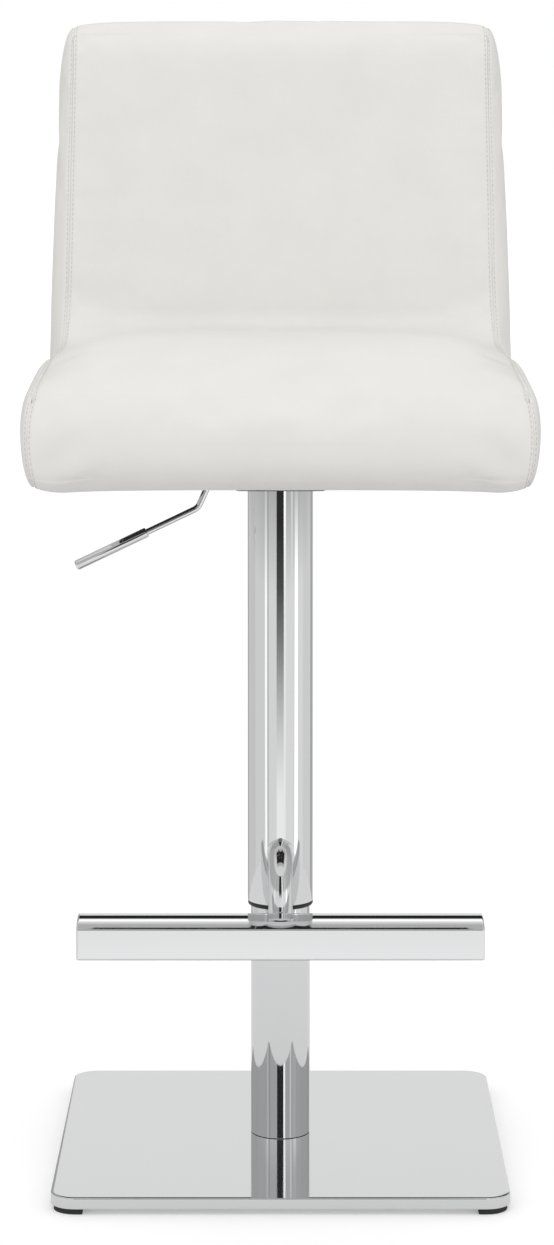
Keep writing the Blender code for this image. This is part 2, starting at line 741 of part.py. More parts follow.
def make_seat_bolts():
    flange_bottom = SEAT_UNDERSIDE - GAP - SHEET
    washer_high = flange_bottom - GAP
    washer_low = washer_high - BOLT_WASHER_THICKNESS
    head_high = washer_low - GAP
    head_low = head_high - BOLT_HEAD_HEIGHT
    work = bmesh.new()
    place = Matrix.Translation((0.0, 0.0, (head_high + head_low) / 2.0))
    bmesh.ops.create_cone(
        work,
        cap_ends=True,
        segments=6,
        radius1=BOLT_HEAD_RADIUS,
        radius2=BOLT_HEAD_RADIUS,
        depth=BOLT_HEAD_HEIGHT,
        matrix=place,
    )
    mesh = bpy.data.meshes.new("seat_bolt")
    work.to_mesh(mesh)
    work.free()
    pattern = add_piece("seat_bolt_1", mesh, ZINC)
    shank = cylinder_cutter("bolt_shank", BOLT_RADIUS, head_low + 0.002, BOLT_TIP, [(0.0, 0.0)])
    boolean(pattern, hide_cutter(shank), "UNION")
    shell_top = SEAT_UNDERSIDE + COVER_THICKNESS + GAP + SHELL_THICKNESS
    bore = BOLT_HOLE_RADIUS
    washer = ring("bolt_washer_1", bore, BOLT_WASHER_RADIUS, washer_low, washer_high, ZINC, SMALL_SEGMENTS)
    nut_low = shell_top + GAP
    nut_bore = BOLT_RADIUS + GAP
    nut_profile = [
        (nut_bore, nut_low + TEE_NUT_FLANGE),
        (TEE_NUT_FLANGE_RADIUS, nut_low + TEE_NUT_FLANGE),
        (TEE_NUT_FLANGE_RADIUS, nut_low),
        (TEE_NUT_BARREL_RADIUS, nut_low),
        (TEE_NUT_BARREL_RADIUS, nut_low - TEE_NUT_BARREL),
        (nut_bore, nut_low - TEE_NUT_BARREL),
    ]
    nut = turned("tee_nut_1", nut_profile, ZINC, SMALL_SEGMENTS)
    places = bolt_places()
    for first, stem in ((pattern, "seat_bolt"), (washer, "bolt_washer"), (nut, "tee_nut")):
        first.location = (*places[0], 0.0)
        for index, (x, y) in enumerate(places[1:]):
            copy = add_piece(f"{stem}_{index + 2}", first.data, None)
            copy.location = (x, y, 0.0)


def make_lever():
    """The bent lift lever. Its parent empty stands on the pivot pin's axis."""
    pivot = bpy.data.objects.new("lever_pivot_axis", None)
    pivot.location = (LEVER_PIVOT_X, 0.0, LEVER_HEIGHT)
    PARTS.objects.link(pivot)
    elbow = Vector(LEVER_ELBOW)
    end = Vector(LEVER_END)
    outward = unit(end - elbow)
    rod_end = end - outward * (GRIP_END_WALL + GAP)
    corners = [(LEVER_TIP_X, LEVER_HEIGHT, 0.0), (*LEVER_SHOULDER, LEVER_BEND_RADIUS)]
    corners += [(elbow.x, elbow.y, LEVER_BEND_RADIUS), (rod_end.x, rod_end.y, 0.0)]
    path = [(x - LEVER_PIVOT_X, 0.0, z - LEVER_HEIGHT) for x, z in rounded_path(corners, False)]
    lever = rod_along("lever_rod", path, LEVER_RADIUS, 2, CHROME)
    hub = cylinder_cutter("lever_hub", HUB_RADIUS, -HUB_HALF_LENGTH, HUB_HALF_LENGTH, [(0.0, 0.0)], to_y)
    boolean(lever, hide_cutter(hub), "UNION")
    reach = HUB_HALF_LENGTH + OVERSHOOT
    pin_bore = PIN_RADIUS + GAP
    pin_hole = cylinder_cutter("lever_pin_hole", pin_bore, -reach, reach, [(0.0, 0.0)], to_y, TINY_SEGMENTS)
    cut(lever, pin_hole)
    lever.parent = pivot
    bore = LEVER_RADIUS + GAP
    profile = [
        (0.0, GRIP_END_WALL),
        (bore, GRIP_END_WALL),
        (bore, GRIP_LENGTH),
        (GRIP_RADIUS - 0.0006, GRIP_LENGTH),
        (GRIP_RADIUS, GRIP_LENGTH - 0.0006),
        (GRIP_RADIUS, 0.0008),
        (GRIP_RADIUS - 0.0008, 0.0),
        (0.0, 0.0),
    ]
    grip = turned("lever_grip", profile, CHROME, SMALL_SEGMENTS, False)
    inward = Vector((-outward.x, 0.0, -outward.y))
    grip.rotation_euler = inward.to_track_quat("Z", "Y").to_euler()
    grip.location = (end.x - LEVER_PIVOT_X, 0.0, end.y - LEVER_HEIGHT)
    grip.parent = pivot


def make_lever_bracket():
    """The small U-shaped bracket and pin that carry the lever inside the channel."""
    low = CHANNEL_BOTTOM + SHEET + GAP
    high = LEVER_HEIGHT + 0.0060
    inner = HUB_HALF_LENGTH + BRACKET_PLAY
    outer = inner + BRACKET_SHEET
    web = low + BRACKET_SHEET
    corners = [(-outer, low), (outer, low), (outer, high), (inner, high), (inner, web)]
    corners += [(-inner, web), (-inner, high), (-outer, high)]
    half = BRACKET_HALF_LENGTH
    bracket = prism("lever_bracket", corners, LEVER_PIVOT_X - half, LEVER_PIVOT_X + half, to_x, ZINC)
    place = (LEVER_PIVOT_X, LEVER_HEIGHT)
    past = outer + OVERSHOOT
    hole = cylinder_cutter("bracket_pin_hole", PIN_RADIUS + GAP, -past, past, [place], to_y, TINY_SEGMENTS)
    cut(bracket, hole)
    shoulder = outer + GAP
    top = shoulder + PIN_HEAD_HEIGHT
    tail = -shoulder - PIN_TAIL
    profile = [(0.0, top), (PIN_HEAD_RADIUS, top), (PIN_HEAD_RADIUS, shoulder), (PIN_RADIUS, shoulder)]
    profile += [(PIN_RADIUS, tail), (0.0, tail)]
    pin = turned("lever_pivot_pin", profile, STEEL, TINY_SEGMENTS, False)
    pin.rotation_euler = (math.radians(90.0), 0.0, 0.0)
    pin.location = (LEVER_PIVOT_X, 0.0, LEVER_HEIGHT)


def footrest_outline(front, rear, inset):
    """Side outline of the bar: flat below, in front and behind, with a crowned top."""
    centre_y = front + FOOTREST_CREST_SETBACK
    centre_z = FOOTREST_CREST - FOOTREST_CROWN_RADIUS
    radius = FOOTREST_CROWN_RADIUS - inset
    near = front + inset
    far = rear - inset
    start = math.asin((far - centre_y) / radius)
    end = math.asin((near - centre_y) / radius)
    points = [(near, FOOTREST_BOTTOM + inset), (far, FOOTREST_BOTTOM + inset)]
    for step in range(FOOTREST_CROWN_STEPS + 1):
        angle = start + (end - start) * step / FOOTREST_CROWN_STEPS
        points.append((centre_y + radius * math.sin(angle), centre_z + radius * math.cos(angle)))
    return points


def make_footrest():
    """The bent arm from the outer tube's front and the hollow bar welded to it."""
    corners = [
        (OVERSHOOT - OUTER_TUBE_RADIUS, ARM_HEIGHT, 0.0),
        (ARM_DROP_Y, ARM_HEIGHT, ARM_BEND_RADIUS),
        (ARM_DROP_Y, ARM_END, 0.0),
    ]
    path = [(0.0, y, z) for y, z in rounded_path(corners, False, 9.0)]
    arm = rod_along("footrest_arm", path, ARM_RADIUS, 4, CHROME)
    bore_path = [(0.0, 0.0, ARM_HEIGHT)] + path + [(0.0, ARM_DROP_Y, ARM_END - OVERSHOOT)]
    bore = rod_along("footrest_arm_bore", bore_path, ARM_RADIUS - ARM_WALL, 3, None, CUTTERS)
    low = ARM_END - OVERSHOOT
    high = ARM_HEIGHT + ARM_RADIUS + OVERSHOOT
    saddle_radius = OUTER_TUBE_RADIUS + GAP
    saddle = cylinder_cutter("arm_saddle", saddle_radius, low, high, [(0.0, 0.0)], to_z, ROUND_SEGMENTS)
    cut(arm, bore, saddle)
    rear = ARM_DROP_Y - ARM_RADIUS - GAP
    front = rear - FOOTREST_DEPTH
    half = FOOTREST_WIDTH / 2.0
    wall = FOOTREST_WALL
    bar = prism("footrest_bar", footrest_outline(front, rear, 0.0), -half, half, to_x, CHROME)
    round_edges(bar, FOOTREST_EDGE_ROUND, 2)
    hollow_half = half - wall
    hollow_outline = footrest_outline(front, rear, wall)
    hollow = prism("footrest_hollow", hollow_outline, -hollow_half, hollow_half, to_x, None, CUTTERS)
    middle = (front + rear) / 2.0
    places = [(-VENT_X, middle), (VENT_X, middle)]
    below = FOOTREST_BOTTOM - OVERSHOOT
    above = FOOTREST_BOTTOM + OVERSHOOT
    vents = cylinder_cutter("vent_holes", VENT_RADIUS, below, above, places, to_z, TINY_SEGMENTS)
    cut(bar, hollow, vents)


def half_width(height, inset):
    """The upholstery narrows evenly from the seat's lowest edge to the top of the back."""
    share = (height - SEAT_LOWEST) / (BACK_TOP - SEAT_LOWEST)
    return SEAT_HALF_WIDTH + (BACK_TOP_HALF_WIDTH - SEAT_HALF_WIDTH) * share - inset


def padded_body(name, inset, material, collection=None):
    """The seat and back in one L-shaped solid, set in from the finished surface by the inset."""
    corners = offset_corners(SIDE_OUTLINE, inset) if inset else SIDE_OUTLINE
    body = prism(name, rounded_path(corners, True), -1.0, 1.0, to_x, material, collection)
    for vertex in body.data.vertices:
        vertex.co.x *= half_width(vertex.co.z, inset)
    return round_edges(body, COVER_EDGE_ROUND - inset, 2)


def rear_y(height, inset):
    """Where the back's rear face is at a height, set in by the inset."""
    slope = (BACK_REAR_TOP_Y - BACK_REAR_BOTTOM_Y) / (BACK_TOP - SEAT_UNDERSIDE)
    return BACK_REAR_BOTTOM_Y + slope * (height - SEAT_UNDERSIDE) - inset * math.hypot(1.0, slope)


def bent_strip(front_y, top, outer_inset, inner_inset):
    """Side outline of a sheet that runs under the seat and up behind the back."""
    low = SEAT_UNDERSIDE + outer_inset
    high = SEAT_UNDERSIDE + inner_inset
    corner_radius = SIDE_OUTLINE[3][2]
    corners = [
        (front_y, low, 0.0),
        (rear_y(low, outer_inset), low, corner_radius - outer_inset),
        (rear_y(top, outer_inset), top, 0.0),
        (rear_y(top, inner_inset), top, 0.0),
        (rear_y(high, inner_inset), high, corner_radius - inner_inset),
        (front_y, high, 0.0),
    ]
    return rounded_path(corners, True)


def split_y(height):
    """The joint between the two foams runs just behind the back's front face."""
    top_y, top_z, _ = SIDE_OUTLINE[5]
    low_y, low_z, _ = SIDE_OUTLINE[6]
    lean = (top_y - low_y) / (top_z - low_z)
    return low_y - FOAM_SPLIT_INSET + lean * (height - low_z)


def make_upholstery():
    shell_low = COVER_THICKNESS + GAP
    shell_high = shell_low + SHELL_THICKNESS
    half = SHELL_HALF_WIDTH
    strip = bent_strip(SHELL_FRONT_Y, SHELL_TOP, shell_low, shell_high)
    shell = prism("seat_shell", strip, -half, half, to_x, PLYWOOD)
    barrel = TEE_NUT_BARREL_RADIUS + GAP
    below = SEAT_UNDERSIDE - OVERSHOOT
    above = SEAT_UNDERSIDE + shell_high + OVERSHOOT
    cut(shell, cylinder_cutter("shell_bolt_holes", barrel, below, above, bolt_places()))

    window_high = shell_high + GAP
    window_front = SHELL_FRONT_Y - GAP
    window_top = SHELL_TOP + GAP
    floor = SEAT_UNDERSIDE + window_high
    corner_radius = SIDE_OUTLINE[3][2] - window_high
    beneath = SEAT_UNDERSIDE - FAR
    window_corners = [
        (window_front, beneath, 0.0),
        (FAR, beneath, 0.0),
        (FAR, window_top, 0.0),
        (rear_y(window_top, window_high), window_top, 0.0),
        (rear_y(floor, window_high), floor, corner_radius),
        (window_front, floor, 0.0),
    ]
    window_outline = rounded_path(window_corners, True)
    window = prism("shell_window", window_outline, -half - GAP, half + GAP, to_x, None, CUTTERS)

    cover = padded_body("seat_cover", 0.0, LEATHERETTE)
    inside = padded_body("cover_inside", COVER_THICKNESS, None, CUTTERS)
    cut(cover, inside, window)

    seat_foam = padded_body("seat_foam", COVER_THICKNESS + GAP, FOAM)
    back_foam = padded_body("back_foam", COVER_THICKNESS + GAP, FOAM)
    recess = TEE_NUT_FLANGE_RADIUS + 0.001
    recess_top = floor + TEE_NUT_RECESS
    recesses = cylinder_cutter("tee_nut_recesses", recess, SEAT_UNDERSIDE, recess_top, bolt_places())
    low = SEAT_LOWEST - OVERSHOOT
    high = BACK_TOP + OVERSHOOT
    rear_side = [(split_y(low), low), (FAR, low), (FAR, high), (split_y(high), high)]
    front_side = [(-FAR, low), (split_y(low) + GAP, low), (split_y(high) + GAP, high), (-FAR, high)]
    behind = prism("behind_split", rear_side, -FAR, FAR, to_x, None, CUTTERS)
    ahead = prism("ahead_of_split", front_side, -FAR, FAR, to_x, None, CUTTERS)
    cut(seat_foam, window, recesses, behind)
    cut(back_foam, window, ahead)

    panel_half = half - GAP
    panel_top = SHELL_TOP - GAP
    rear_start = BOTTOM_LINING_REAR_Y + GAP
    rear_outline = bent_strip(rear_start, panel_top, 0.0, COVER_THICKNESS)
    prism("rear_panel", rear_outline, -panel_half, panel_half, to_x, LEATHERETTE)
    lining_high = SEAT_UNDERSIDE + COVER_THICKNESS
    low_corner = (-panel_half, SHELL_FRONT_Y + GAP, SEAT_UNDERSIDE)
    lining = box("bottom_lining", low_corner, (panel_half, BOTTOM_LINING_REAR_Y, lining_high), LINING)
    cut(lining, cylinder_cutter("lining_bolt_holes", BOLT_HOLE_RADIUS, below, above, bolt_places()))


make_base()
make_spigot()
make_piston_rod(make_bearing())
make_gas_cylinder()
make_column()
make_seat_channel()
make_seat_bolts()
make_lever()
make_lever_bracket()
make_footrest()
make_upholstery()
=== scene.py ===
"""The looks of the adjustable swivel stool: upholstery, chrome, plastics and a plain white studio."""

import json
import math

import bmesh
import bpy
import numpy as np
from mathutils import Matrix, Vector
from mathutils.bvhtree import BVHTree


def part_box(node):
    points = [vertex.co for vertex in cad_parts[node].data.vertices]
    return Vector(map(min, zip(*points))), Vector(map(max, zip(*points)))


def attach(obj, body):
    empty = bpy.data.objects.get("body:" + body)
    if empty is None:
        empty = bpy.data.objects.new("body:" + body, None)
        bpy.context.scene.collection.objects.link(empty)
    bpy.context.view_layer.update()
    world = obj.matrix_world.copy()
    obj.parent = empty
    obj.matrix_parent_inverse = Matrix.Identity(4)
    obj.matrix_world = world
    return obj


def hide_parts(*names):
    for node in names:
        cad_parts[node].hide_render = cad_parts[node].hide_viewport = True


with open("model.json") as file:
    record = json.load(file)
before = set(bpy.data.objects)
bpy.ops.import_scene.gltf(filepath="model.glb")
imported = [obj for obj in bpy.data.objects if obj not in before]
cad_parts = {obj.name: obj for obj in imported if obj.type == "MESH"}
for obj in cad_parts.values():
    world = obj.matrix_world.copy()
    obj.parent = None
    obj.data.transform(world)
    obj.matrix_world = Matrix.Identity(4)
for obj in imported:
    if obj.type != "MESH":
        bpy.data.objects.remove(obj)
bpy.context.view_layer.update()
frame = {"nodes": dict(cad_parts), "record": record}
NODES = frame["nodes"]

# ---------------------------------------------------------------- camera

CAMERA_DISTANCE = 3.190
CAMERA_HEIGHT = 0.9654
LENS_MM = 101.63
SENSOR_MM = 36.0
SHIFT_X = -0.0028
SHIFT_Y = -0.27
TILT_DEGREES = 3.086


def make_camera():
    data = bpy.data.cameras.new("camera")
    data.lens = LENS_MM
    data.sensor_width = SENSOR_MM
    data.shift_x = SHIFT_X
    data.shift_y = SHIFT_Y
    camera = bpy.data.objects.new("camera", data)
    camera.location = (0.0, -CAMERA_DISTANCE, CAMERA_HEIGHT)
    camera.rotation_euler = (math.radians(90.0 - TILT_DEGREES), 0.0, 0.0)
    bpy.context.scene.collection.objects.link(camera)
    bpy.context.scene.camera = camera


# ---------------------------------------------------------------- material helpers


class Shader:
    """A Principled material with a few node helpers, so each material below stays short."""

    def __init__(self, name, **values):
        self.material = bpy.data.materials.new(name)
        self.material.use_nodes = True
        self.tree = self.material.node_tree
        self.principled = self.tree.nodes["Principled BSDF"]
        self.coords = self.node("ShaderNodeTexCoord").outputs["Object"]
        for socket, value in values.items():
            self.set(socket.replace("_", " "), value)

    def node(self, kind, **inputs):
        node = self.tree.nodes.new(kind)
        for name, value in inputs.items():
            self.feed(node.inputs[name.replace("_", " ")], value)
        return node

    def feed(self, socket, value):
        if isinstance(value, bpy.types.NodeSocket):
            self.tree.links.new(value, socket)
        elif isinstance(value, tuple) and len(value) == 3 and socket.type == "RGBA":
            socket.default_value = (*value, 1.0)
        else:
            socket.default_value = value

    def set(self, name, value):
        self.feed(self.principled.inputs[name], value)

    def noise(self, scale, detail=2.0, roughness=0.5, stretch=None):
        vector = self.coords
        if stretch:
            mapping = self.node("ShaderNodeMapping", Vector=self.coords)
            mapping.inputs["Scale"].default_value = stretch
            vector = mapping.outputs["Vector"]
        node = self.node("ShaderNodeTexNoise", Vector=vector, Scale=scale, Detail=detail, Roughness=roughness)
        return node.outputs["Fac"]

    def voronoi(self, scale, feature="F1"):
        node = self.node("ShaderNodeTexVoronoi", Vector=self.coords, Scale=scale)
        node.feature = feature
        return node.outputs["Distance"]

    def ramp(self, value, low, high, start, end):
        """Map value from low..high to start..end, which are numbers or colours."""
        if isinstance(start, tuple):
            node = self.node("ShaderNodeValToRGB", Fac=value)
            node.color_ramp.elements[0].position = low
            node.color_ramp.elements[1].position = high
            node.color_ramp.elements[0].color = (*start, 1.0)
            node.color_ramp.elements[1].color = (*end, 1.0)
            return node.outputs["Color"]
        node = self.node("ShaderNodeMapRange", Value=value)
        for name, number in (("From Min", low), ("From Max", high), ("To Min", start), ("To Max", end)):
            node.inputs[name].default_value = number
        return node.outputs["Result"]

    def bump(self, height, strength, distance, below=None):
        node = self.node("ShaderNodeBump", Height=height, Strength=strength, Distance=distance)
        if below is not None:
            self.feed(node.inputs["Normal"], below)
        return node.outputs["Normal"]


def chrome_material(name, base=0.80, roughness=0.035):
    shader = Shader(name, Metallic=1.0)
    smudge = shader.noise(9.0, 4.0, 0.6)
    tint = shader.ramp(smudge, 0.3, 0.7, (base * 0.985, base * 0.99, base), (base, base * 1.003, base * 1.01))
    shader.set("Base Color", tint)
    shader.set("Roughness", shader.ramp(smudge, 0.35, 0.75, roughness, roughness + 0.03))
    ripple = shader.noise(16.0, 1.0)
    shader.set("Normal", shader.bump(ripple, 0.05, 0.0004))
    return shader.material


def brushed_material(name, colour, roughness):
    shader = Shader(name, Metallic=1.0)
    lines = shader.noise(900.0, 2.0, 0.6, (1.0, 1.0, 0.08))
    dark = tuple(0.82 * part for part in colour)
    shader.set("Base Color", shader.ramp(lines, 0.3, 0.7, dark, colour))
    shader.set("Roughness", shader.ramp(lines, 0.3, 0.7, roughness, roughness + 0.12))
    shader.set("Normal", shader.bump(lines, 0.15, 0.0002))
    return shader.material


def painted_material(name, colour, roughness):
    shader = Shader(name, Metallic=0.0)
    orange_peel = shader.noise(420.0, 2.0)
    worn = shader.noise(30.0, 4.0)
    light = tuple(min(1.0, part * 1.5 + 0.01) for part in colour)
    shader.set("Base Color", shader.ramp(worn, 0.35, 0.75, colour, light))
    shader.set("Roughness", shader.ramp(orange_peel, 0.3, 0.7, roughness, roughness + 0.1))
    shader.set("Normal", shader.bump(orange_peel, 0.2, 0.0002))
    return shader.material


def rubber_material(name, colour, roughness):
    shader = Shader(name, Metallic=0.0)
    grain = shader.noise(1500.0, 3.0)
    light = tuple(part * 1.7 + 0.004 for part in colour)
    shader.set("Base Color", shader.ramp(grain, 0.35, 0.7, colour, light))
    shader.set("Roughness", shader.ramp(grain, 0.3, 0.7, roughness, min(1.0, roughness + 0.12)))
    shader.set("Normal", shader.bump(grain, 0.25, 0.0002))
    return shader.material


def leatherette_material(name):
    """Off-white coated fabric: a fine pebble grain, faint pores and a slight mottle."""
    shader = Shader(name, Metallic=0.0)
    pebble = shader.voronoi(760.0, "SMOOTH_F1")
    pores = shader.noise(2600.0, 2.0)
    mottle = shader.noise(22.0, 3.0)
    shader.set("Base Color", shader.ramp(mottle, 0.3, 0.72, (0.790, 0.780, 0.750), (0.815, 0.806, 0.780)))
    shader.set("Roughness", shader.ramp(pebble, 0.1, 0.8, 0.50, 0.40))
    shader.set("Specular IOR Level", 0.42)
    shader.set("Sheen Weight", 0.04)
    soft = shader.bump(mottle, 0.12, 0.0012)
    grain = shader.bump(pebble, 0.32, 0.00025, soft)
    shader.set("Normal", shader.bump(pores, 0.10, 0.0001, grain))
    return shader.material


def thread_material(name):
    shader = Shader(name, Metallic=0.0, Roughness=0.65)
    twist = shader.noise(2400.0, 1.0, 0.5, (1.0, 1.0, 3.0))
    shader.set("Base Color", shader.ramp(twist, 0.3, 0.7, (0.58, 0.57, 0.53), (0.69, 0.68, 0.64)))
    shader.set("Normal", shader.bump(twist, 0.3, 0.0002))
    return shader.material


def lining_material(name):
    """Black non-woven fabric with pressed fibres."""
    shader = Shader(name, Metallic=0.0, Roughness=0.92)
    fibre = shader.noise(1200.0, 4.0, 0.7)
    spots = shader.voronoi(420.0)
    shader.set("Base Color", shader.ramp(fibre, 0.3, 0.7, (0.012, 0.012, 0.013), (0.035, 0.035, 0.037)))
    pressed = shader.bump(spots, 0.5, 0.0003)
    shader.set("Normal", shader.bump(fibre, 0.5, 0.0003, pressed))
    return shader.material


def plywood_material(name):
    shader = Shader(name, Metallic=0.0, Roughness=0.62)
    grain = shader.noise(60.0, 4.0, 0.6, (1.0, 0.08, 1.0))
    shader.set("Base Color", shader.ramp(grain, 0.3, 0.7, (0.50, 0.34, 0.19), (0.72, 0.55, 0.36)))
    shader.set("Normal", shader.bump(grain, 0.2, 0.0003))
    return shader.material


def foam_material(name):
    shader = Shader(name, Metallic=0.0, Roughness=0.95)
    cells = shader.voronoi(900.0)
    shader.set("Base Color", shader.ramp(cells, 0.1, 0.6, (0.70, 0.64, 0.48), (0.88, 0.84, 0.70)))
    shader.set("Normal", shader.bump(cells, 0.6, 0.0005))
    return shader.material


CHROME = chrome_material("chrome_tube")
CHROME_PLATE = chrome_material("chrome_plate", 0.80, 0.045)
STEEL = brushed_material("turned_steel", (0.56, 0.57, 0.59), 0.28)
ZINC = brushed_material("zinc_plate", (0.66, 0.66, 0.63), 0.30)
BLACK_PAINT = painted_material("black_paint", (0.022, 0.022, 0.023), 0.38)
NYLON = rubber_material("black_nylon", (0.012, 0.012, 0.013), 0.42)
RUBBER = rubber_material("black_rubber", (0.014, 0.014, 0.015), 0.72)
LEATHERETTE = leatherette_material("white_leatherette")
THREAD = thread_material("white_thread")
LINING = lining_material("black_lining")
PLYWOOD = plywood_material("plywood")
FOAM = foam_material("foam")
SLOT_MATERIALS = {
    "chrome": CHROME,
    "steel": STEEL,
    "zinc": ZINC,
    "dark_steel": BLACK_PAINT,
    "nylon": NYLON,
    "rubber": RUBBER,
    "plywood": PLYWOOD,
    "foam": FOAM,
    "leatherette": LEATHERETTE,
    "lining": LINING,
}


# ---------------------------------------------------------------- mesh helpers


SHARP_DEGREES = 40.0
# The two shares of an edge's radius, at even turns round its quarter circle
QUARTER = [(1.0 - math.sin(a), 1.0 - math.cos(a)) for a in np.radians(np.linspace(0.0, 90.0, 7))]


def add_object(name, mesh, material):
    piece = bpy.data.objects.new(name, mesh)
    bpy.context.scene.collection.objects.link(piece)
    mesh.materials.clear()
    mesh.materials.append(material)
    return piece


def mesh_from(name, points, faces, sharp_degrees=None):
    mesh = bpy.data.meshes.new(name)
    mesh.from_pydata([tuple(point) for point in points], [], [tuple(face) for face in faces])
    mesh.shade_smooth()
    if sharp_degrees is not None:
        mesh.set_sharp_from_angle(angle=math.radians(sharp_degrees))
    mesh.update()
    return mesh


def dress(piece, body, slot, *nodes):
    """Ride on a body and stand for the CAD nodes named; the slot is not used."""
    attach(piece, body)
    if nodes:
        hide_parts(*nodes)


def band_faces(rings, count, closed=False, turned=False, first=0):
    """Faces between rings of vertices that follow each other; turned faces the other way."""
    faces = []
    for ring in range(rings if closed else rings - 1):
        low, high = first + ring * count, first + (ring + 1) % rings * count
        for step in range(count):
            following = (step + 1) % count
            face = (low + step, low + following, high + following, high + step)
            faces.append(face[:1] + face[:0:-1] if turned else face)
    return faces


def lathe(name, profile, material, segments):
    """Turn a closed profile of (radius, height) points, listed down its outer side, about Z."""
    points = []
    for radius, height in profile:
        for index in range(segments):
            angle = 2.0 * math.pi * index / segments
            points.append((radius * math.cos(angle), radius * math.sin(angle), height))
    faces = band_faces(len(profile), segments, closed=True, turned=True)
    return add_object(name, mesh_from(name, points, faces, SHARP_DEGREES), material)


def rounded_corner(centre, radius, start_degrees, end_degrees, steps=5):
    """Points of an arc in a turned profile or a flat outline."""
    angles = np.radians(np.linspace(start_degrees, end_degrees, steps + 1))
    return [(centre[0] + radius * math.cos(a), centre[1] + radius * math.sin(a)) for a in angles]


def tube_profile(inner, outer, low, high, edge):
    """A tube's wall, with rounded outer edges and small inner ones, listed down its outer side."""
    profile = [(inner + edge * 0.5, high)]
    profile += rounded_corner((outer - edge, high - edge), edge, 90, 0)
    profile += rounded_corner((outer - edge, low + edge), edge, 0, -90)
    profile += [(inner + edge * 0.5, low), (inner, low + edge * 0.5), (inner, high - edge * 0.5)]
    return profile


def sweep(name, path, radii, material, sides=32):
    """A round section carried along a path, with a radius at each point; the ends close to a point."""
    path = [Vector(point) for point in path]
    tangents = []
    for index, point in enumerate(path):
        before = next((other for other in reversed(path[:index]) if (other - point).length > 1e-6), point)
        after = next((other for other in path[index + 1 :] if (other - point).length > 1e-6), point)
        tangents.append((after - before).normalized())
    side = tangents[0].orthogonal().normalized()
    points, rings = [], []
    for point, tangent, radius in zip(path, tangents, radii):
        side = (side - tangent * side.dot(tangent)).normalized()
        up = tangent.cross(side)
        if radius < 1e-9:
            rings.append([len(points)] * sides)
            points.append(point)
            continue
        rings.append(list(range(len(points), len(points) + sides)))
        for index in range(sides):
            angle = 2.0 * math.pi * index / sides
            points.append(point + side * (radius * math.cos(angle)) + up * (radius * math.sin(angle)))
    faces = []
    for lower, upper in zip(rings, rings[1:]):
        for index in range(sides):
            following = (index + 1) % sides
            corner = [lower[index], lower[following], upper[following], upper[index]]
            face = list(dict.fromkeys(corner))
            if len(face) >= 3:
                faces.append(face)
    return add_object(name, mesh_from(name, points, faces, SHARP_DEGREES), material)


def fillet_path(corners, steps=14):
    """A path of straight runs between 3-D corners, rounded by each corner's radius."""
    points = []
    for index, (corner, radius) in enumerate(corners):
        corner = Vector(corner)
        if index in (0, len(corners) - 1) or radius <= 0.0:
            points.append(corner)
            continue
        before = (Vector(corners[index - 1][0]) - corner).normalized()
        after = (Vector(corners[index + 1][0]) - corner).normalized()
        half = before.angle(after) / 2.0
        centre = corner + (before + after).normalized() * (radius / math.sin(half))
        start = corner + before * (radius / math.tan(half)) - centre
        end = corner + after * (radius / math.tan(half)) - centre
        turn = start.angle(end)
        for step in range(steps + 1):
            share = step / steps
            mixed = start * math.sin((1.0 - share) * turn) + end * math.sin(share * turn)
            points.append(centre + mixed / math.sin(turn))
    return points


# ---------------------------------------------------------------- upholstery shape

SIDE_CORNERS = [
    (-0.2335, 0.6285, 0.034),
    (-0.1820, 0.6275, 0.014),
    (-0.1600, 0.6420, 0.014),
    (0.1940, 0.6415, 0.036),
    (0.2385, 1.0412, 0.036),
    (0.1590, 1.0412, 0.036),
    (0.1285, 0.7410, 0.042),
    (-0.1150, 0.7545, 0.250),
    (-0.2335, 0.7240, 0.058),
]
SOFTEN = 0.009
FRONT_LOW = (-0.2235, 0.6385)
FRONT_HIGH = (-0.2150, 0.7120)
TOP_REAR = (0.2255, 1.0240)
TOP_FRONT = (0.1675, 1.0240)

# Along the seat and back, from the front (0) to the top of the back (1)
SEAM_TOP = [
    (0.0, 0.2120), (0.15, 0.2048), (0.35, 0.2040), (0.54, 0.2040), (0.62, 0.2015), (1.0, 0.1975),
]
SEAM_UNDER = [
    (0.0, 0.2125), (0.05, 0.2095), (0.12, 0.2075), (0.50, 0.2065), (0.60, 0.2050), (1.0, 0.1985),
]
FALL_TOP = [
    (0.0, 0.013), (0.15, 0.020), (0.35, 0.017), (0.50, 0.010), (0.62, 0.006), (0.9, 0.005),
    (1.0, 0.003),
]
FALL_UNDER = [(0.0, 0.002), (0.10, 0.004), (0.50, 0.004), (0.60, 0.003), (0.9, 0.003), (1.0, 0.003)]
# How far the uninflated cover stands inside its finished shape
SLACK_TOP = [
    (0.0, 0.0006), (0.10, 0.0012), (0.28, 0.0030), (0.50, 0.0018), (0.66, 0.0042), (0.9, 0.003),
    (1.0, 0.0008),
]
SLACK_UNDER = [(0.0, 0.0006), (0.08, 0.0), (0.52, 0.0), (0.66, 0.0004), (0.9, 0.0004), (1.0, 0.0006)]
WIDEST = [
    (0.0, 0.2232), (0.12, 0.2230), (0.35, 0.2215), (0.54, 0.2200), (0.64, 0.2185),
    (0.85, 0.2125), (1.0, 0.2092),
]


def along(table, share):
    """Read a list of (share, value) pairs at a share from 0 to 1, smoothly."""
    keys = [key for key, _ in table]
    values = [value for _, value in table]
    fine = np.linspace(0.0, 1.0, 401)
    line = np.interp(fine, keys, values)
    kernel = np.hanning(61)
    padded = np.pad(line, 30, mode="edge")
    smooth = np.convolve(padded, kernel / kernel.sum(), mode="valid")
    return np.interp(share, fine, smooth)


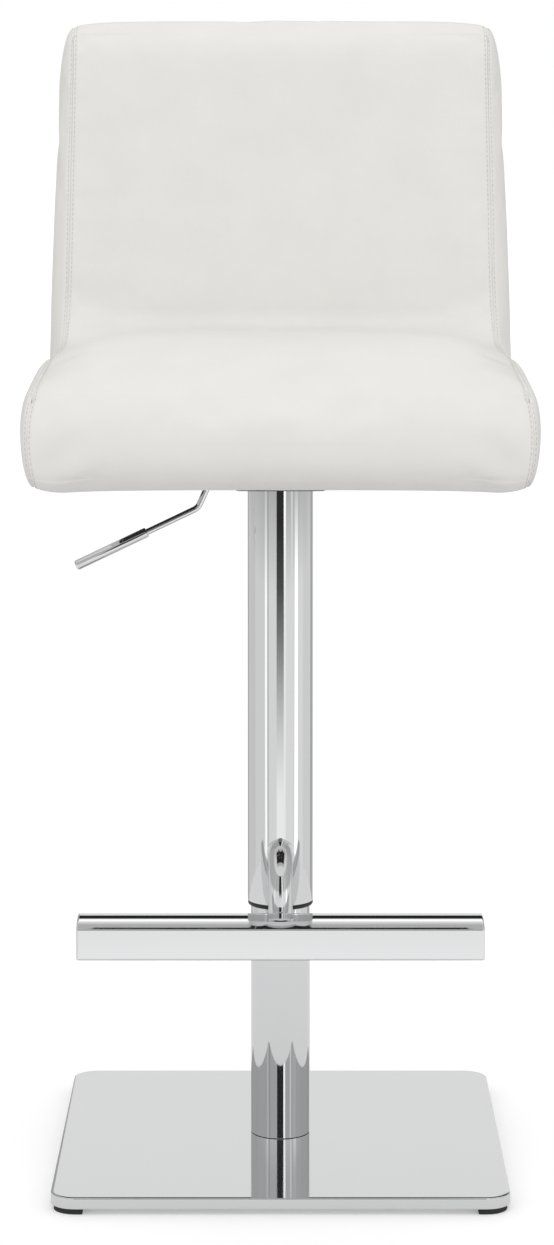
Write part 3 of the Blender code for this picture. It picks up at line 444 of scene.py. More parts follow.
def dense_outline(corners, spacing=0.001):
    """The closed side outline at even spacing, with its arcs softened into its straights."""
    points = []
    count = len(corners)
    for index, (y, z, radius) in enumerate(corners):
        corner = np.array([y, z])
        before = np.array(corners[index - 1][:2]) - corner
        after = np.array(corners[(index + 1) % count][:2]) - corner
        before, after = before / np.linalg.norm(before), after / np.linalg.norm(after)
        half = math.acos(np.clip(before @ after, -1, 1)) / 2.0
        bisector = (before + after) / np.linalg.norm(before + after)
        centre = corner + bisector * (radius / math.sin(half))
        start = corner + before * (radius / math.tan(half)) - centre
        end = corner + after * (radius / math.tan(half)) - centre
        turn = math.pi - 2.0 * half
        for share in np.linspace(0.0, 1.0, 24):
            mixed = start * math.sin((1.0 - share) * turn) + end * math.sin(share * turn)
            points.append(centre + mixed / math.sin(turn))
    points = np.array(points)
    closed = np.vstack([points, points[:1]])
    lengths = np.concatenate([[0.0], np.cumsum(np.linalg.norm(np.diff(closed, axis=0), axis=1))])
    total = lengths[-1]
    count = int(round(total / spacing))
    even = np.arange(count) * total / count
    line = np.column_stack([np.interp(even, lengths, closed[:, axis]) for axis in (0, 1)])
    reach = int(round(3 * SOFTEN / spacing))
    kernel = np.exp(-0.5 * (np.arange(-reach, reach + 1) * spacing / SOFTEN) ** 2)
    kernel /= kernel.sum()
    padded = np.vstack([line[-reach:], line, line[:reach]])
    return np.column_stack([np.convolve(padded[:, axis], kernel, mode="valid") for axis in (0, 1)])


class Run:
    """A stretch of the side outline, read by its share of length."""

    def __init__(self, points):
        self.points = np.array(points)
        steps = np.linalg.norm(np.diff(self.points, axis=0), axis=1)
        lengths = np.concatenate([[0.0], np.cumsum(steps)])
        self.length = lengths[-1]
        self.shares = lengths / self.length

    def at(self, share):
        return np.column_stack([np.interp(share, self.shares, self.points[:, axis]) for axis in (0, 1)])

    def normal(self, share, side):
        """The unit normal on the outer side of the outline."""
        step = 0.004
        ahead, behind = self.at(np.clip(share + step, 0, 1)), self.at(np.clip(share - step, 0, 1))
        tangent = ahead - behind
        tangent /= np.linalg.norm(tangent, axis=1)[:, None]
        return side * np.column_stack([tangent[:, 1], -tangent[:, 0]])


def outline_runs():
    """The outline in four runs: under and behind, over the top, down the face and seat, and the front."""
    line = dense_outline(SIDE_CORNERS)

    def nearest(point):
        return int(np.argmin(np.linalg.norm(line - np.array(point), axis=1)))

    def stretch(start, end):
        first, last = nearest(start), nearest(end)
        if last <= first:
            last += len(line)
        return line[np.arange(first, last + 1) % len(line)]

    under = Run(stretch(FRONT_LOW, TOP_REAR))
    crest = Run(stretch(TOP_REAR, TOP_FRONT))
    face = Run(stretch(TOP_FRONT, FRONT_HIGH)[::-1])
    front = Run(stretch(FRONT_HIGH, FRONT_LOW)[::-1])
    return under, crest, face, front


UNDER, CREST, FACE, FRONT = outline_runs()


def seat_dip(share, x):
    """The seat's crown sinks a little along its middle."""
    on_seat = np.sin(math.pi * np.clip(share / 0.45, 0.0, 1.0)) ** 2
    return -0.0026 * on_seat[:, None] * np.exp(-((x / 0.052) ** 2))


def panel_section(share, across, kind, slack):
    """Points of the wrap-around panel: share runs along a run, across from -1 to 1 between the side seams."""
    runs = {"under": (UNDER, 1.0), "crest": (CREST, 1.0), "face": (FACE, -1.0), "front": (FRONT, -1.0)}
    run, side = runs[kind]
    base = run.at(share)
    normal = run.normal(share, side)
    if kind == "under":
        seam, fall, inset = along(SEAM_UNDER, share), along(FALL_UNDER, share), along(SLACK_UNDER, share)
        power = np.interp(share, [0.0, 0.15, 0.5, 0.6, 1.0], [6.5, 6.0, 6.0, 12.0, 10.0])
    elif kind == "face":
        seam, fall, inset = along(SEAM_TOP, share), along(FALL_TOP, share), along(SLACK_TOP, share)
        power = np.interp(share, [0.0, 0.15, 0.28, 0.42, 0.62, 1.0], [6.5, 7.0, 10.0, 10.0, 8.0, 8.0])
    elif kind == "crest":
        seam = SEAM_UNDER[-1][1] + (SEAM_TOP[-1][1] - SEAM_UNDER[-1][1]) * share
        fall = FALL_UNDER[-1][1] + 0.0015 * np.sin(np.pi * share)
        power = 10.0 - 2.0 * share
        inset = np.full_like(share, SLACK_TOP[-1][1])
    else:
        seam = SEAM_UNDER[0][1] + (SEAM_TOP[0][1] - SEAM_UNDER[0][1]) * share + 0.0035 * np.sin(np.pi * share)
        fall = FALL_UNDER[0][1] + (FALL_TOP[0][1] - FALL_UNDER[0][1]) * share
        power = np.full_like(share, 6.5)
        inset = np.full_like(share, SLACK_TOP[0][1])
    v = np.abs(across)[None, :]
    x = seam[:, None] * across[None, :]
    rise = -fall[:, None] * v ** power[:, None] - slack * inset[:, None] * (1.0 - v**8)
    if kind == "face":
        rise = rise + seat_dip(share, x)
    if kind == "crest":
        rise = rise - 0.0030 * (x / 0.2) ** 2
    if kind == "under":
        at_front = np.exp(-((share / 0.05) ** 2))[:, None]
        rise = rise + 0.0030 * at_front * np.exp(-(((np.abs(x) - 0.190) / 0.016) ** 2))
    y = base[:, 0][:, None] + normal[:, 0][:, None] * rise
    z = base[:, 1][:, None] + normal[:, 1][:, None] * rise
    return np.stack([x, y, z], axis=2)


def panel_grid(stations, ends, across, slack):
    """The closed loop of the wrap-around panel, as an array of (loop, across, xyz)."""
    under = panel_section(stations, across, "under", slack)
    crest = panel_section(ends[1:-1], across, "crest", slack)
    face = panel_section(stations[::-1], across, "face", slack)
    front = panel_section(ends[1:-1][::-1], across, "front", slack)
    return np.concatenate([under, crest, face, front], axis=0)


def loop_places(stations, ends):
    """How far round the closed loop each of its rows is, from 0 to 4, one unit for each run."""
    inner = ends[1:-1]
    return np.concatenate([stations, 1.0 + inner, 3.0 - stations[::-1], 4.0 - inner[::-1]])


def loop_index(stations, ends):
    """Loop positions of the four borders of a side panel's (station, end) grid."""
    n, m = len(stations), len(ends)
    under = list(range(n))
    crest = [n - 1] + list(range(n, n + m - 2)) + [n + m - 2]
    face = [n + m - 2 + (n - 1 - i) for i in range(n)]
    front_start = 2 * n + m - 2
    front = [0] + [front_start + (m - 2 - j) for j in range(1, m - 1)] + [face[0]]
    return under, crest, face, front


def side_grid(panel, stations, ends, column, sign):
    """A side boxing panel between the panel's seam vertices, bulging outwards."""
    under, crest, face, front = loop_index(stations, ends)
    seam = panel[:, column, :]
    low, high = seam[under], seam[face]
    start, finish = seam[front], seam[crest]
    t = ends[None, :, None]
    s = stations[:, None, None]
    ruled = low[:, None, :] * (1 - t) + high[:, None, :] * t
    start_bow = start - (low[0] * (1 - ends[:, None]) + high[0] * ends[:, None])
    finish_bow = finish - (low[-1] * (1 - ends[:, None]) + high[-1] * ends[:, None])
    grid = ruled + start_bow[None] * (1 - s) ** 14 + finish_bow[None] * s ** 14
    bulge = along(WIDEST, stations)[:, None] - np.abs(grid[:, :, 0])
    from_start = stations[:, None] * FACE.length
    from_finish = (1 - stations[:, None]) * FACE.length
    reach = 0.045

    def swell(distance):
        near = np.clip(1 - distance / reach, 0, 1)
        return np.clip(1 - near**2.2, 0, 1) ** 0.62

    across_shape = np.clip(1 - np.abs(2 * ends[None, :] - 1) ** 2.0, 0, 1) ** 0.72
    shape = across_shape * swell(from_start) * swell(from_finish)
    grid[:, :, 0] += sign * bulge * shape
    return grid


def body_faces(stations, ends, columns):
    """Faces and vertex numbering of the closed body: the panel loop and the inner vertices of both sides."""
    n, m = len(stations), len(ends)
    loop = 2 * n + 2 * (m - 2)
    faces = []
    for k in range(loop):
        following = (k + 1) % loop
        for c in range(columns - 1):
            here, ahead = k * columns + c, following * columns + c
            faces.append((ahead, ahead + 1, here + 1, here))
    under, crest, face, front = loop_index(stations, ends)
    first = loop * columns
    numbers = []
    for side, column in ((0, 0), (1, columns - 1)):
        table = np.zeros((n, m), int)
        inner = first + side * (n - 2) * (m - 2)
        for i in range(n):
            for j in range(m):
                if j == 0:
                    table[i, j] = under[i] * columns + column
                elif j == m - 1:
                    table[i, j] = face[i] * columns + column
                elif i == 0:
                    table[i, j] = front[j] * columns + column
                elif i == n - 1:
                    table[i, j] = crest[j] * columns + column
                else:
                    table[i, j] = inner + (i - 1) * (m - 2) + (j - 1)
        for i in range(n - 1):
            for j in range(m - 1):
                corner = (table[i, j], table[i, j + 1], table[i + 1, j + 1], table[i + 1, j])
                faces.append(corner if side == 0 else corner[::-1])
        numbers.append(table)
    return faces, numbers


def body_points(stations, ends, across, slack):
    panel = panel_grid(stations, ends, across, slack)
    left = side_grid(panel, stations, ends, 0, -1.0)
    right = side_grid(panel, stations, ends, len(across) - 1, 1.0)
    inner = [grid[1:-1, 1:-1, :].reshape(-1, 3) for grid in (left, right)]
    return np.concatenate([panel.reshape(-1, 3), *inner], axis=0)


def graded(length, spacing, edge_steps):
    """Shares from 0 to 1: fine steps at both ends, given as distances, and even steps between."""
    edge = np.array(edge_steps)
    count = int(round((length - 2 * edge[-1]) / spacing)) + 1
    inner = np.linspace(edge[-1], length - edge[-1], max(2, count))
    distances = np.concatenate([[0.0], edge[:-1], inner, length - edge[:-1][::-1], [length]])
    return distances / length


EDGE_STEPS = [0.0006, 0.0013, 0.0020, 0.0027, 0.0036, 0.0050, 0.0070, 0.0100, 0.0140]
STITCH_OFFSET = 0.0027
STITCH_PITCH = 0.0046
STITCH_LENGTH = 0.0034
THREAD_RADIUS = 0.00036


def groove_depth(distance):
    """How far the cover is drawn in near a seam, with a shallow line under each stitch row."""
    seam = 0.0016 * np.exp(-((distance / 0.0011) ** 2))
    shoulder = 0.0007 * np.exp(-((distance / 0.0055) ** 2))
    stitch = 0.0005 * np.exp(-(((distance - STITCH_OFFSET) / 0.0008) ** 2))
    return seam + shoulder + stitch


def resample(rows, places, closed):
    """Smooth readings of evenly numbered rows at fractional places (a Catmull-Rom curve)."""
    base = np.floor(places).astype(int)
    share = (places - base).reshape(-1, *([1] * (rows.ndim - 1)))

    def row(step):
        return rows[(base + step) % len(rows)] if closed else rows[np.clip(base + step, 0, len(rows) - 1)]

    first, second, third, fourth = row(-1), row(0), row(1), row(2)
    cubic = 3.0 * (second - third) + fourth - first
    square = 2.0 * first - 5.0 * second + 4.0 * third - fourth
    return second + 0.5 * share * (third - first + share * (square + share * cubic))


CLOTH_LIMIT = 0.010
CLOTH_PRESSURE = 1.5
CLOTH_TENSION = 14.0
CLOTH_GROWTH = 0.003


def inflate_cover():
    """Blow a coarse copy of the cover up as cloth, held at its seams and where it is stapled underneath."""
    stations = np.linspace(0.0, 1.0, 64)
    ends = np.linspace(0.0, 1.0, 13)
    across = np.linspace(-1.0, 1.0, 49)
    points = body_points(stations, ends, across, 1.0)
    faces, tables = body_faces(stations, ends, len(across))
    piece = add_object("cover_cloth", mesh_from("cover_cloth", points, faces), LEATHERETTE)
    count = (2 * len(stations) + 2 * (len(ends) - 2)) * len(across)
    columns = np.arange(count) % len(across)
    seams = np.flatnonzero((columns == 0) | (columns == len(across) - 1))
    stapled = np.flatnonzero((points[:, 2] < 0.655) & (points[:, 1] > -0.19))
    pins = piece.vertex_groups.new(name="pins")
    pins.add([int(number) for number in np.union1d(seams, stapled)], 1.0, "REPLACE")
    modifier = piece.modifiers.new("cloth", "CLOTH")
    cloth = modifier.settings
    cloth.quality = 6
    cloth.mass = 0.35
    cloth.tension_stiffness = CLOTH_TENSION
    cloth.compression_stiffness = 10.0
    cloth.shear_stiffness = 6.0
    cloth.bending_stiffness = 1.5
    cloth.air_damping = 2.0
    cloth.shrink_min = -CLOTH_GROWTH
    cloth.use_pressure = True
    cloth.uniform_pressure_force = CLOTH_PRESSURE
    cloth.vertex_group_mass = "pins"
    cloth.effector_weights.gravity = 0.0
    modifier.collision_settings.use_collision = False
    scene = bpy.context.scene
    for number in range(1, 21):
        scene.frame_set(number)
    settled = piece.evaluated_get(bpy.context.evaluated_depsgraph_get()).to_mesh()
    after = np.zeros(len(points) * 3, np.float32)
    settled.vertices.foreach_get("co", after)
    move = after.reshape(-1, 3) - points
    scene.frame_set(1)
    bpy.data.objects.remove(piece, do_unlink=True)
    size = np.linalg.norm(move, axis=1)[:, None]
    move *= CLOTH_LIMIT / (CLOTH_LIMIT + size)
    panel = move[:count].reshape(-1, len(across), 3)
    return stations, ends, across, panel, [move[table] for table in tables]


def add_cloth_move(points, stations, ends, across):
    """Carry the cloth's movement over to the fine cover."""
    coarse_stations, coarse_ends, coarse_across, panel, sides = inflate_cover()
    rows = loop_places(coarse_stations, coarse_ends)
    rows = np.append(rows, 4.0)
    places = np.interp(loop_places(stations, ends), rows, np.arange(len(rows)))
    columns = np.interp(across, coarse_across, np.arange(len(coarse_across)))
    fine = resample(panel, places, True)
    fine = resample(fine.transpose(1, 0, 2), columns, False).transpose(1, 0, 2)
    along_places = np.interp(stations, coarse_stations, np.arange(len(coarse_stations)))
    end_places = np.interp(ends, coarse_ends, np.arange(len(coarse_ends)))
    moves = [fine.reshape(-1, 3)]
    for side in sides:
        wide = resample(side, along_places, False)
        wide = resample(wide.transpose(1, 0, 2), end_places, False).transpose(1, 0, 2)
        moves.append(wide[1:-1, 1:-1].reshape(-1, 3))
    return points + np.concatenate(moves)


def make_upholstery():
    stations = graded(FACE.length, 0.0048, EDGE_STEPS)
    ends = graded(0.100, 0.0048, EDGE_STEPS)
    half = graded(0.400, 0.0055, EDGE_STEPS)
    across = half * 2.0 - 1.0
    points = body_points(stations, ends, across, 1.0)
    points = add_cloth_move(points, stations, ends, across)
    faces, tables = body_faces(stations, ends, len(across))
    mesh = mesh_from("seat_upholstery", points, faces)
    columns = len(across)
    loop = 2 * len(stations) + 2 * (len(ends) - 2)
    normals = np.zeros(len(points) * 3, np.float32)
    mesh.vertex_normals.foreach_get("vector", normals)
    normals = normals.reshape(-1, 3)

    distance = np.full(len(points), 1.0)
    grid = points[: loop * columns].reshape(loop, columns, 3)
    for edge in (0, columns - 1):
        gaps = np.linalg.norm(grid - grid[:, edge : edge + 1, :], axis=2)
        current = distance[: loop * columns].reshape(loop, columns)
        distance[: loop * columns] = np.minimum(current, gaps).ravel()
    for table, edge in zip(tables, (0, columns - 1)):
        seam = grid[:, edge, :]
        inner = table[1:-1, 1:-1].ravel()
        spots = points[inner]
        nearest = np.full(len(inner), 1.0)
        for start in range(0, len(seam), 60):
            gaps = np.linalg.norm(spots[:, None, :] - seam[None, start : start + 60, :], axis=2)
            nearest = np.minimum(nearest, gaps.min(axis=1))
        distance[inner] = nearest
    moved = points - normals * groove_depth(distance)[:, None]
    lining_low, lining_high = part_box("bottom_lining")
    margin = 0.004
    inside_x = np.clip((lining_high.x - margin - np.abs(points[:, 0])) / 0.006, 0, 1)
    inside_y = np.clip((points[:, 1] - lining_low.y - margin) / 0.006, 0, 1)
    inside_y *= np.clip((lining_high.y - margin - points[:, 1]) / 0.006, 0, 1)
    underneath = (points[:, 2] < 0.66).astype(float)
    moved[:, 2] += 0.0045 * inside_x * inside_y * underneath
    mesh.vertices.foreach_set("co", moved.astype(np.float32).ravel())
    mesh.update()
    piece = add_object("seat_upholstery", mesh, LEATHERETTE)
    dress(piece, "seat", "leatherette", "seat_cover", "seat_foam", "back_foam", "rear_panel")
    make_stitches(mesh, grid)


def stitch_mesh(name, lines, pitch=STITCH_PITCH, length=STITCH_LENGTH, thickness=THREAD_RADIUS):
    """Short rounded stitches laid end to end along each (points, normals) line."""
    all_points, all_faces = [], []
    rings = [(-0.5, 0.35), (-0.38, 0.95), (0.0, 1.0), (0.38, 0.95), (0.5, 0.35)]
    sides = 6
    for path, lifts in lines:
        steps = np.linalg.norm(np.diff(path, axis=0), axis=1)
        lengths = np.concatenate([[0.0], np.cumsum(steps)])
        count = int(lengths[-1] / pitch)
        for index in range(count):
            middle = (index + 0.5) * lengths[-1] / count
            share = [middle - 0.0006, middle, middle + 0.0006]
            spot = np.array([[np.interp(s, lengths, path[:, axis]) for axis in range(3)] for s in share])
            up = np.array([np.interp(middle, lengths, lifts[:, axis]) for axis in range(3)])
            tangent = spot[2] - spot[0]
            tangent /= np.linalg.norm(tangent)
            up -= tangent * (up @ tangent)
            up /= np.linalg.norm(up)
            side = np.cross(tangent, up)
            start = len(all_points)
            for share_along, size in rings:
                sink = 0.00018 - 0.0005 * (2 * share_along) ** 4
                centre = spot[1] + tangent * share_along * length + up * sink
                for corner in range(sides):
                    angle = 2 * math.pi * corner / sides
                    offset = side * math.cos(angle) + up * math.sin(angle)
                    all_points.append(centre + offset * thickness * size)
            all_faces += band_faces(len(rings), sides, first=start)
            all_faces.append(tuple(start + corner for corner in reversed(range(sides))))
            last = start + (len(rings) - 1) * sides
            all_faces.append(tuple(last + corner for corner in range(sides)))
    return mesh_from(name, all_points, all_faces)


def seam_line(points):
    """A closed seam at even steps, softened, with its direction at every step."""
    closed = np.vstack([points, points[:1]])
    lengths = np.concatenate([[0.0], np.cumsum(np.linalg.norm(np.diff(closed, axis=0), axis=1))])
    even = np.arange(0.0, lengths[-1], 0.0015)
    line = np.column_stack([np.interp(even, lengths, closed[:, axis]) for axis in range(3)])
    kernel = np.hanning(9)[1:-1]
    kernel /= kernel.sum()
    padded = np.vstack([line[-3:], line, line[:3]])
    line = np.column_stack([np.convolve(padded[:, axis], kernel, mode="valid") for axis in range(3)])
    direction = np.roll(line, -3, axis=0) - np.roll(line, 3, axis=0)
    return line, direction / np.linalg.norm(direction, axis=1)[:, None]


def make_stitches(mesh, grid):
    """Topstitching on both sides of both seams, except where the seam is hidden under the seat."""
    faces = [tuple(polygon.vertices) for polygon in mesh.polygons]
    surface = BVHTree.FromPolygons([vertex.co for vertex in mesh.vertices], faces)
    lines = []
    for edge, sign in ((0, -1.0), (grid.shape[1] - 1, 1.0)):
        line, direction = seam_line(grid[:, edge, :])
        outward = np.column_stack([np.zeros(len(line)), direction[:, 2], -direction[:, 1]])
        outward /= np.linalg.norm(outward, axis=1)[:, None]
        middle = np.array([-sign, 0.0, 0.0])
        for step in (middle + 0.15 * outward, -0.55 * middle - outward):
            aim = line + STITCH_OFFSET * step / np.linalg.norm(step, axis=1)[:, None]
            found = [surface.find_nearest(Vector(point)) for point in aim]
            spots = np.array([list(hit[0]) for hit in found])
            lifts = np.array([list(hit[1]) for hit in found])
            hidden = (spots[:, 2] < 0.655) & (spots[:, 1] > -0.20) & (spots[:, 1] < 0.16)
            start = int(np.argmax(hidden))
            order = (np.arange(len(spots)) + start) % len(spots)
            kept = [k for k in order if not hidden[k]]
            lines.append((spots[kept], lifts[kept]))
    piece = add_object("topstitching", stitch_mesh("topstitching", lines), THREAD)
    dress(piece, "seat", "leatherette")


STAPLE_INSET = 0.006
STAPLE_PITCH = 0.021
STAPLE_LENGTH = 0.010
STAPLE_THICKNESS = 0.0005


def make_staples():
    """Staples along the edge of the lining under the seat."""
    low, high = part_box("bottom_lining")
    x, front, rear = high.x - STAPLE_INSET, low.y + STAPLE_INSET, high.y - STAPLE_INSET
    corners = [(-x, front), (x, front), (x, rear), (-x, rear), (-x, front)]
    lines = []
    for start, end in zip(corners, corners[1:]):
        spots = np.linspace((*start, low.z), (*end, low.z), 60)
        lines.append((spots, np.tile((0.0, 0.0, -1.0), (len(spots), 1))))
    mesh = stitch_mesh("lining_staples", lines, STAPLE_PITCH, STAPLE_LENGTH, STAPLE_THICKNESS)
    dress(add_object("lining_staples", mesh, STEEL), "seat", "steel")


# ---------------------------------------------------------------- metalwork


def make_column():
    tubes = (("lower_tube", "base", 0.0020, 0.0006), ("outer_tube", "seat", 0.0015, 0.0007))
    for name, body, wall, edge in tubes:
        low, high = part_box(name)
        outer = high.x
        tube = lathe(name + "_chrome", tube_profile(outer - wall, outer, low.z, high.z, edge), CHROME, 160)
        dress(tube, body, "chrome", name)
    low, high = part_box("guide_ring")
    tube_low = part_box("outer_tube")[0].z
    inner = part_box("lower_tube")[1].x + 0.0003
    lip_top = tube_low - 0.0003
    lip = high.x
    sleeve = lip - 0.0015
    profile = [(inner + 0.0003, high.z), (sleeve, high.z), (sleeve, lip_top)]
    profile += rounded_corner((lip - 0.0005, lip_top - 0.0005), 0.0005, 90, 0, 3)
    profile += rounded_corner((lip - 0.0016, low.z + 0.0016), 0.0016, 0, -90, 6)
    profile += [(inner + 0.0003, low.z), (inner, low.z + 0.0003)]
    ring = lathe("guide_ring_moulded", profile, NYLON, 128)
    dress(ring, "seat", "nylon", "guide_ring")


def make_base():
    """The base plate, in loops of points from its hole under the plate, round its edge and back on top."""
    low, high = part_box("base_plate")
    half, radius, edge, hole = high.x, 0.022, 0.0009, 0.010
    signs = ((1, 1), (-1, 1), (-1, -1), (1, -1))

    def outline(inset, height):
        points = []
        for index, (sign_x, sign_y) in enumerate(signs):
            centre = (sign_x * (half - radius), sign_y * (half - radius))
            for x, y in rounded_corner(centre, radius - inset, 90.0 * index, 90.0 * index + 90.0, 12):
                points.append((x, y, height))
        return points

    def circle(height):
        spots = outline(0.0, height)
        return [(hole * x / math.hypot(x, y), hole * y / math.hypot(x, y), height) for x, y, _ in spots]

    loops = [circle(low.z), outline(edge + 0.003, low.z)]
    loops += [outline(edge * one, low.z + edge * other) for one, other in QUARTER]
    loops += [outline(edge * other, high.z - edge * one) for one, other in QUARTER]
    loops += [outline(edge + 0.003, high.z), circle(high.z)]
    points = [point for loop in loops for point in loop]
    faces = band_faces(len(loops), len(loops[0]), closed=True)
    mesh = mesh_from("base_plate_chrome", points, faces, SHARP_DEGREES)
    plate = add_object("base_plate_chrome", mesh, CHROME_PLATE)
    dress(plate, "base", "chrome", "base_plate")


BAR_CROWN_RADIUS = 0.060
BAR_CREST_SETBACK = 0.0275
BAR_END_ROUND = 0.0016
# Narrow strips beside the rounded edges keep the flat faces flat to the eye
BAR_HOLD = 0.0004
WELD_RADIUS = 0.0013


def bar_outline(front, rear, low, crest, inset):
    """Side outline of the footrest bar: flat in front, below and behind, with a crowned top and rounded edges."""
    radius = BAR_CROWN_RADIUS - inset
    centre = np.array([front + BAR_CREST_SETBACK, crest - BAR_CROWN_RADIUS])
    near, far, bottom = front + inset, rear - inset, low + inset
    start = math.asin((far - centre[0]) / radius)
    end = math.asin((near - centre[0]) / radius)

    def crown(angle):
        return centre + radius * np.array([math.sin(angle), math.cos(angle)])

    backward = np.array([-math.cos(start), math.sin(start)])
    forward = np.array([-math.cos(end), math.sin(end)])
    sides = [np.array([0.0, -1.0]), np.array([1.0, 0.0]), np.array([0.0, 1.0])]
    corners = [
        (np.array([near, bottom]), sides[0], sides[1], 0.0014),
        (np.array([far, bottom]), sides[1], sides[2], 0.0014),
        (crown(start), sides[2], backward, 0.0022),
        (crown(end), forward, sides[0], 0.0012),
    ]
    points = []
    for index, (corner, inwards, outwards, corner_radius) in enumerate(corners):
        corner_radius = max(0.0002, corner_radius - inset)
        turn = math.acos(np.clip(inwards @ outwards, -1.0, 1.0))
        begin = corner - inwards * corner_radius * math.tan(turn / 2.0)
        finish = corner + outwards * corner_radius * math.tan(turn / 2.0)
        middle = begin + corner_radius * np.array([-inwards[1], inwards[0]])
        if index < 3:
            points.append(begin - inwards * BAR_HOLD)
        for share in np.linspace(0.0, 1.0, 7):
            swing = share * turn
            arm = begin - middle
            turned = np.array([
                arm[0] * math.cos(swing) - arm[1] * math.sin(swing),
                arm[0] * math.sin(swing) + arm[1] * math.cos(swing),
            ])
            points.append(middle + turned)
        if index != 2:
            points.append(finish + outwards * BAR_HOLD)
        else:
            margin = 0.0016 / BAR_CROWN_RADIUS
            points += [crown(angle) for angle in np.linspace(start - margin, end + margin, 40)]
    return points


def make_footrest():
    low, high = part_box("footrest_bar")
    half = high.x
    loops = [(half - BAR_END_ROUND * other, BAR_END_ROUND * one) for one, other in QUARTER]
    loops = [(half, BAR_END_ROUND + BAR_HOLD)] + loops + [(half - BAR_END_ROUND - BAR_HOLD, 0.0)]
    sections = [(-x, inset) for x, inset in loops] + [(x, inset) for x, inset in reversed(loops)]
    outlines = [bar_outline(low.y, high.y, low.z, high.z, inset) for _, inset in sections]
    count = len(outlines[0])
    points = [(x, spot[0], spot[1]) for (x, _), outline in zip(sections, outlines) for spot in outline]
    faces = band_faces(len(sections), count, turned=True)
    faces.append(tuple(range(count)))
    faces.append(tuple(reversed(range((len(sections) - 1) * count, len(sections) * count))))
    bar = add_object("footrest_bar_chrome", mesh_from("footrest_bar_chrome", points, faces, 50.0), CHROME)
    dress(bar, "seat", "chrome", "footrest_bar")
    arm_low, arm_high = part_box("footrest_arm")
    radius = arm_high.x
    height = arm_high.z - radius
    drop = arm_low.y + radius
    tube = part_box("outer_tube")[1].x
    corners = [((0.0, -tube + 0.0025, height), 0.0), ((0.0, drop, height), 0.0325)]
    corners += [((0.0, drop, arm_low.z), 0.0)]
    path = fillet_path(corners, 28)
    radii = [0.0] + [radius] * len(path) + [0.0]
    arm = sweep("footrest_arm_chrome", [path[0]] + path + [path[-1]], radii, CHROME, 64)
    dress(arm, "seat", "chrome", "footrest_arm")
    ring = []
    for step in range(65):
        angle = 2.0 * math.pi * step / 64
        x, z = (radius + 0.0004) * math.cos(angle), height + (radius + 0.0004) * math.sin(angle)
        ring.append((x, -math.sqrt((tube + 0.0002) ** 2 - x * x), z))
    bead = sweep("arm_weld", ring, [0.0010] * len(ring), CHROME, 12)
    dress(bead, "seat", "chrome")
    heights = np.linspace(arm_low.z + 0.001, high.z - 0.0055, 8)
    for side, word in ((-1.0, "right"), (1.0, "left")):
        run = [(side * 0.0042, high.y + 0.0007, z) for z in heights]
        run = [run[0]] + run + [run[-1]]
        weld = sweep("bar_weld_" + word, run, [0.0] + [WELD_RADIUS] * len(heights) + [0.0], CHROME, 12)
        dress(weld, "seat", "chrome")


LEVER_PIVOT = Vector((-0.028, 0.0, 0.629))
LEVER_INNER_END = Vector((0.004, 0.0, 0.629))
LEVER_SHOULDER = Vector((-0.0578, 0.0, 0.629))
LEVER_ELBOW = Vector((-0.0754, 0.0, 0.5910))
LEVER_END = Vector((-0.1867, 0.0, 0.5378))
LEVER_BEND = 0.010
LEVER_RADIUS = 0.003
GRIP_LENGTH = 0.072
ROD_IN_GRIP = 0.062


def make_lever():
    outward = (LEVER_END - LEVER_ELBOW).normalized()
    inside = LEVER_END - outward * ROD_IN_GRIP
    corners = [(LEVER_INNER_END, 0.0), (LEVER_SHOULDER, LEVER_BEND), (LEVER_ELBOW, LEVER_BEND), (inside, 0.0)]
    path = fillet_path(corners, 12)
    tip = [path[0], path[0], path[0] + Vector((-0.001, 0.0, 0.0))]
    radii = [0.0, LEVER_RADIUS * 0.75, LEVER_RADIUS] + [LEVER_RADIUS] * (len(path) - 1) + [0.0]
    rod = sweep("lever_rod_chrome", tip + path[1:] + [path[-1]], radii, CHROME)
    steps = (-0.0045, -0.0045, -0.0041, 0.0041, 0.0045, 0.0045)
    hub_path = [LEVER_PIVOT + Vector((0.0, y, 0.0)) for y in steps]
    hub = sweep("lever_hub_chrome", hub_path, [0.0, 0.0045, 0.005, 0.005, 0.0045, 0.0], CHROME)
    dress(rod, "lever", "chrome", "lever_rod")
    dress(hub, "lever", "chrome")
    start = LEVER_END - outward * GRIP_LENGTH
    stations = [(0.0, 0.0), (0.0, 0.0040), (0.0005, 0.0046), (0.0012, 0.0048)]
    stations += [(0.0698, 0.0048), (0.0712, 0.0044), (0.0719, 0.0036), (0.0720, 0.0)]
    grip_path = [start + outward * distance for distance, _ in stations]
    grip = sweep("lever_grip_chrome", grip_path, [radius for _, radius in stations], CHROME)
    dress(grip, "lever", "chrome", "lever_grip")


SOFT_EDGED = ("seat_channel", "lever_bracket", "tube_collar")


def finish_cad_nodes():
    """Give every CAD node that still shows its material and a small edge rounding."""
    slots = {item["node"]: item["material_slot"] for item in frame["record"]["subparts"]}
    for name, node in NODES.items():
        node.data.materials.clear()
        node.data.materials.append(SLOT_MATERIALS[slots[name]])
        if not node.hide_render:
            node.data.shade_smooth()
            node.data.set_sharp_from_angle(angle=math.radians(32.0))
        if name in SOFT_EDGED or name.startswith(("seat_bolt", "bolt_washer", "foot_")):
            bevel = node.modifiers.new("soft_edge", "BEVEL")
            bevel.width = 0.0003
            bevel.segments = 2
            bevel.limit_method = "ANGLE"
            bevel.angle_limit = math.radians(40.0)
            bevel.harden_normals = True


# ---------------------------------------------------------------- studio

TENT_RADIUS = 3.9
TENT_LOW = -1.7
TENT_HIGH = 3.6
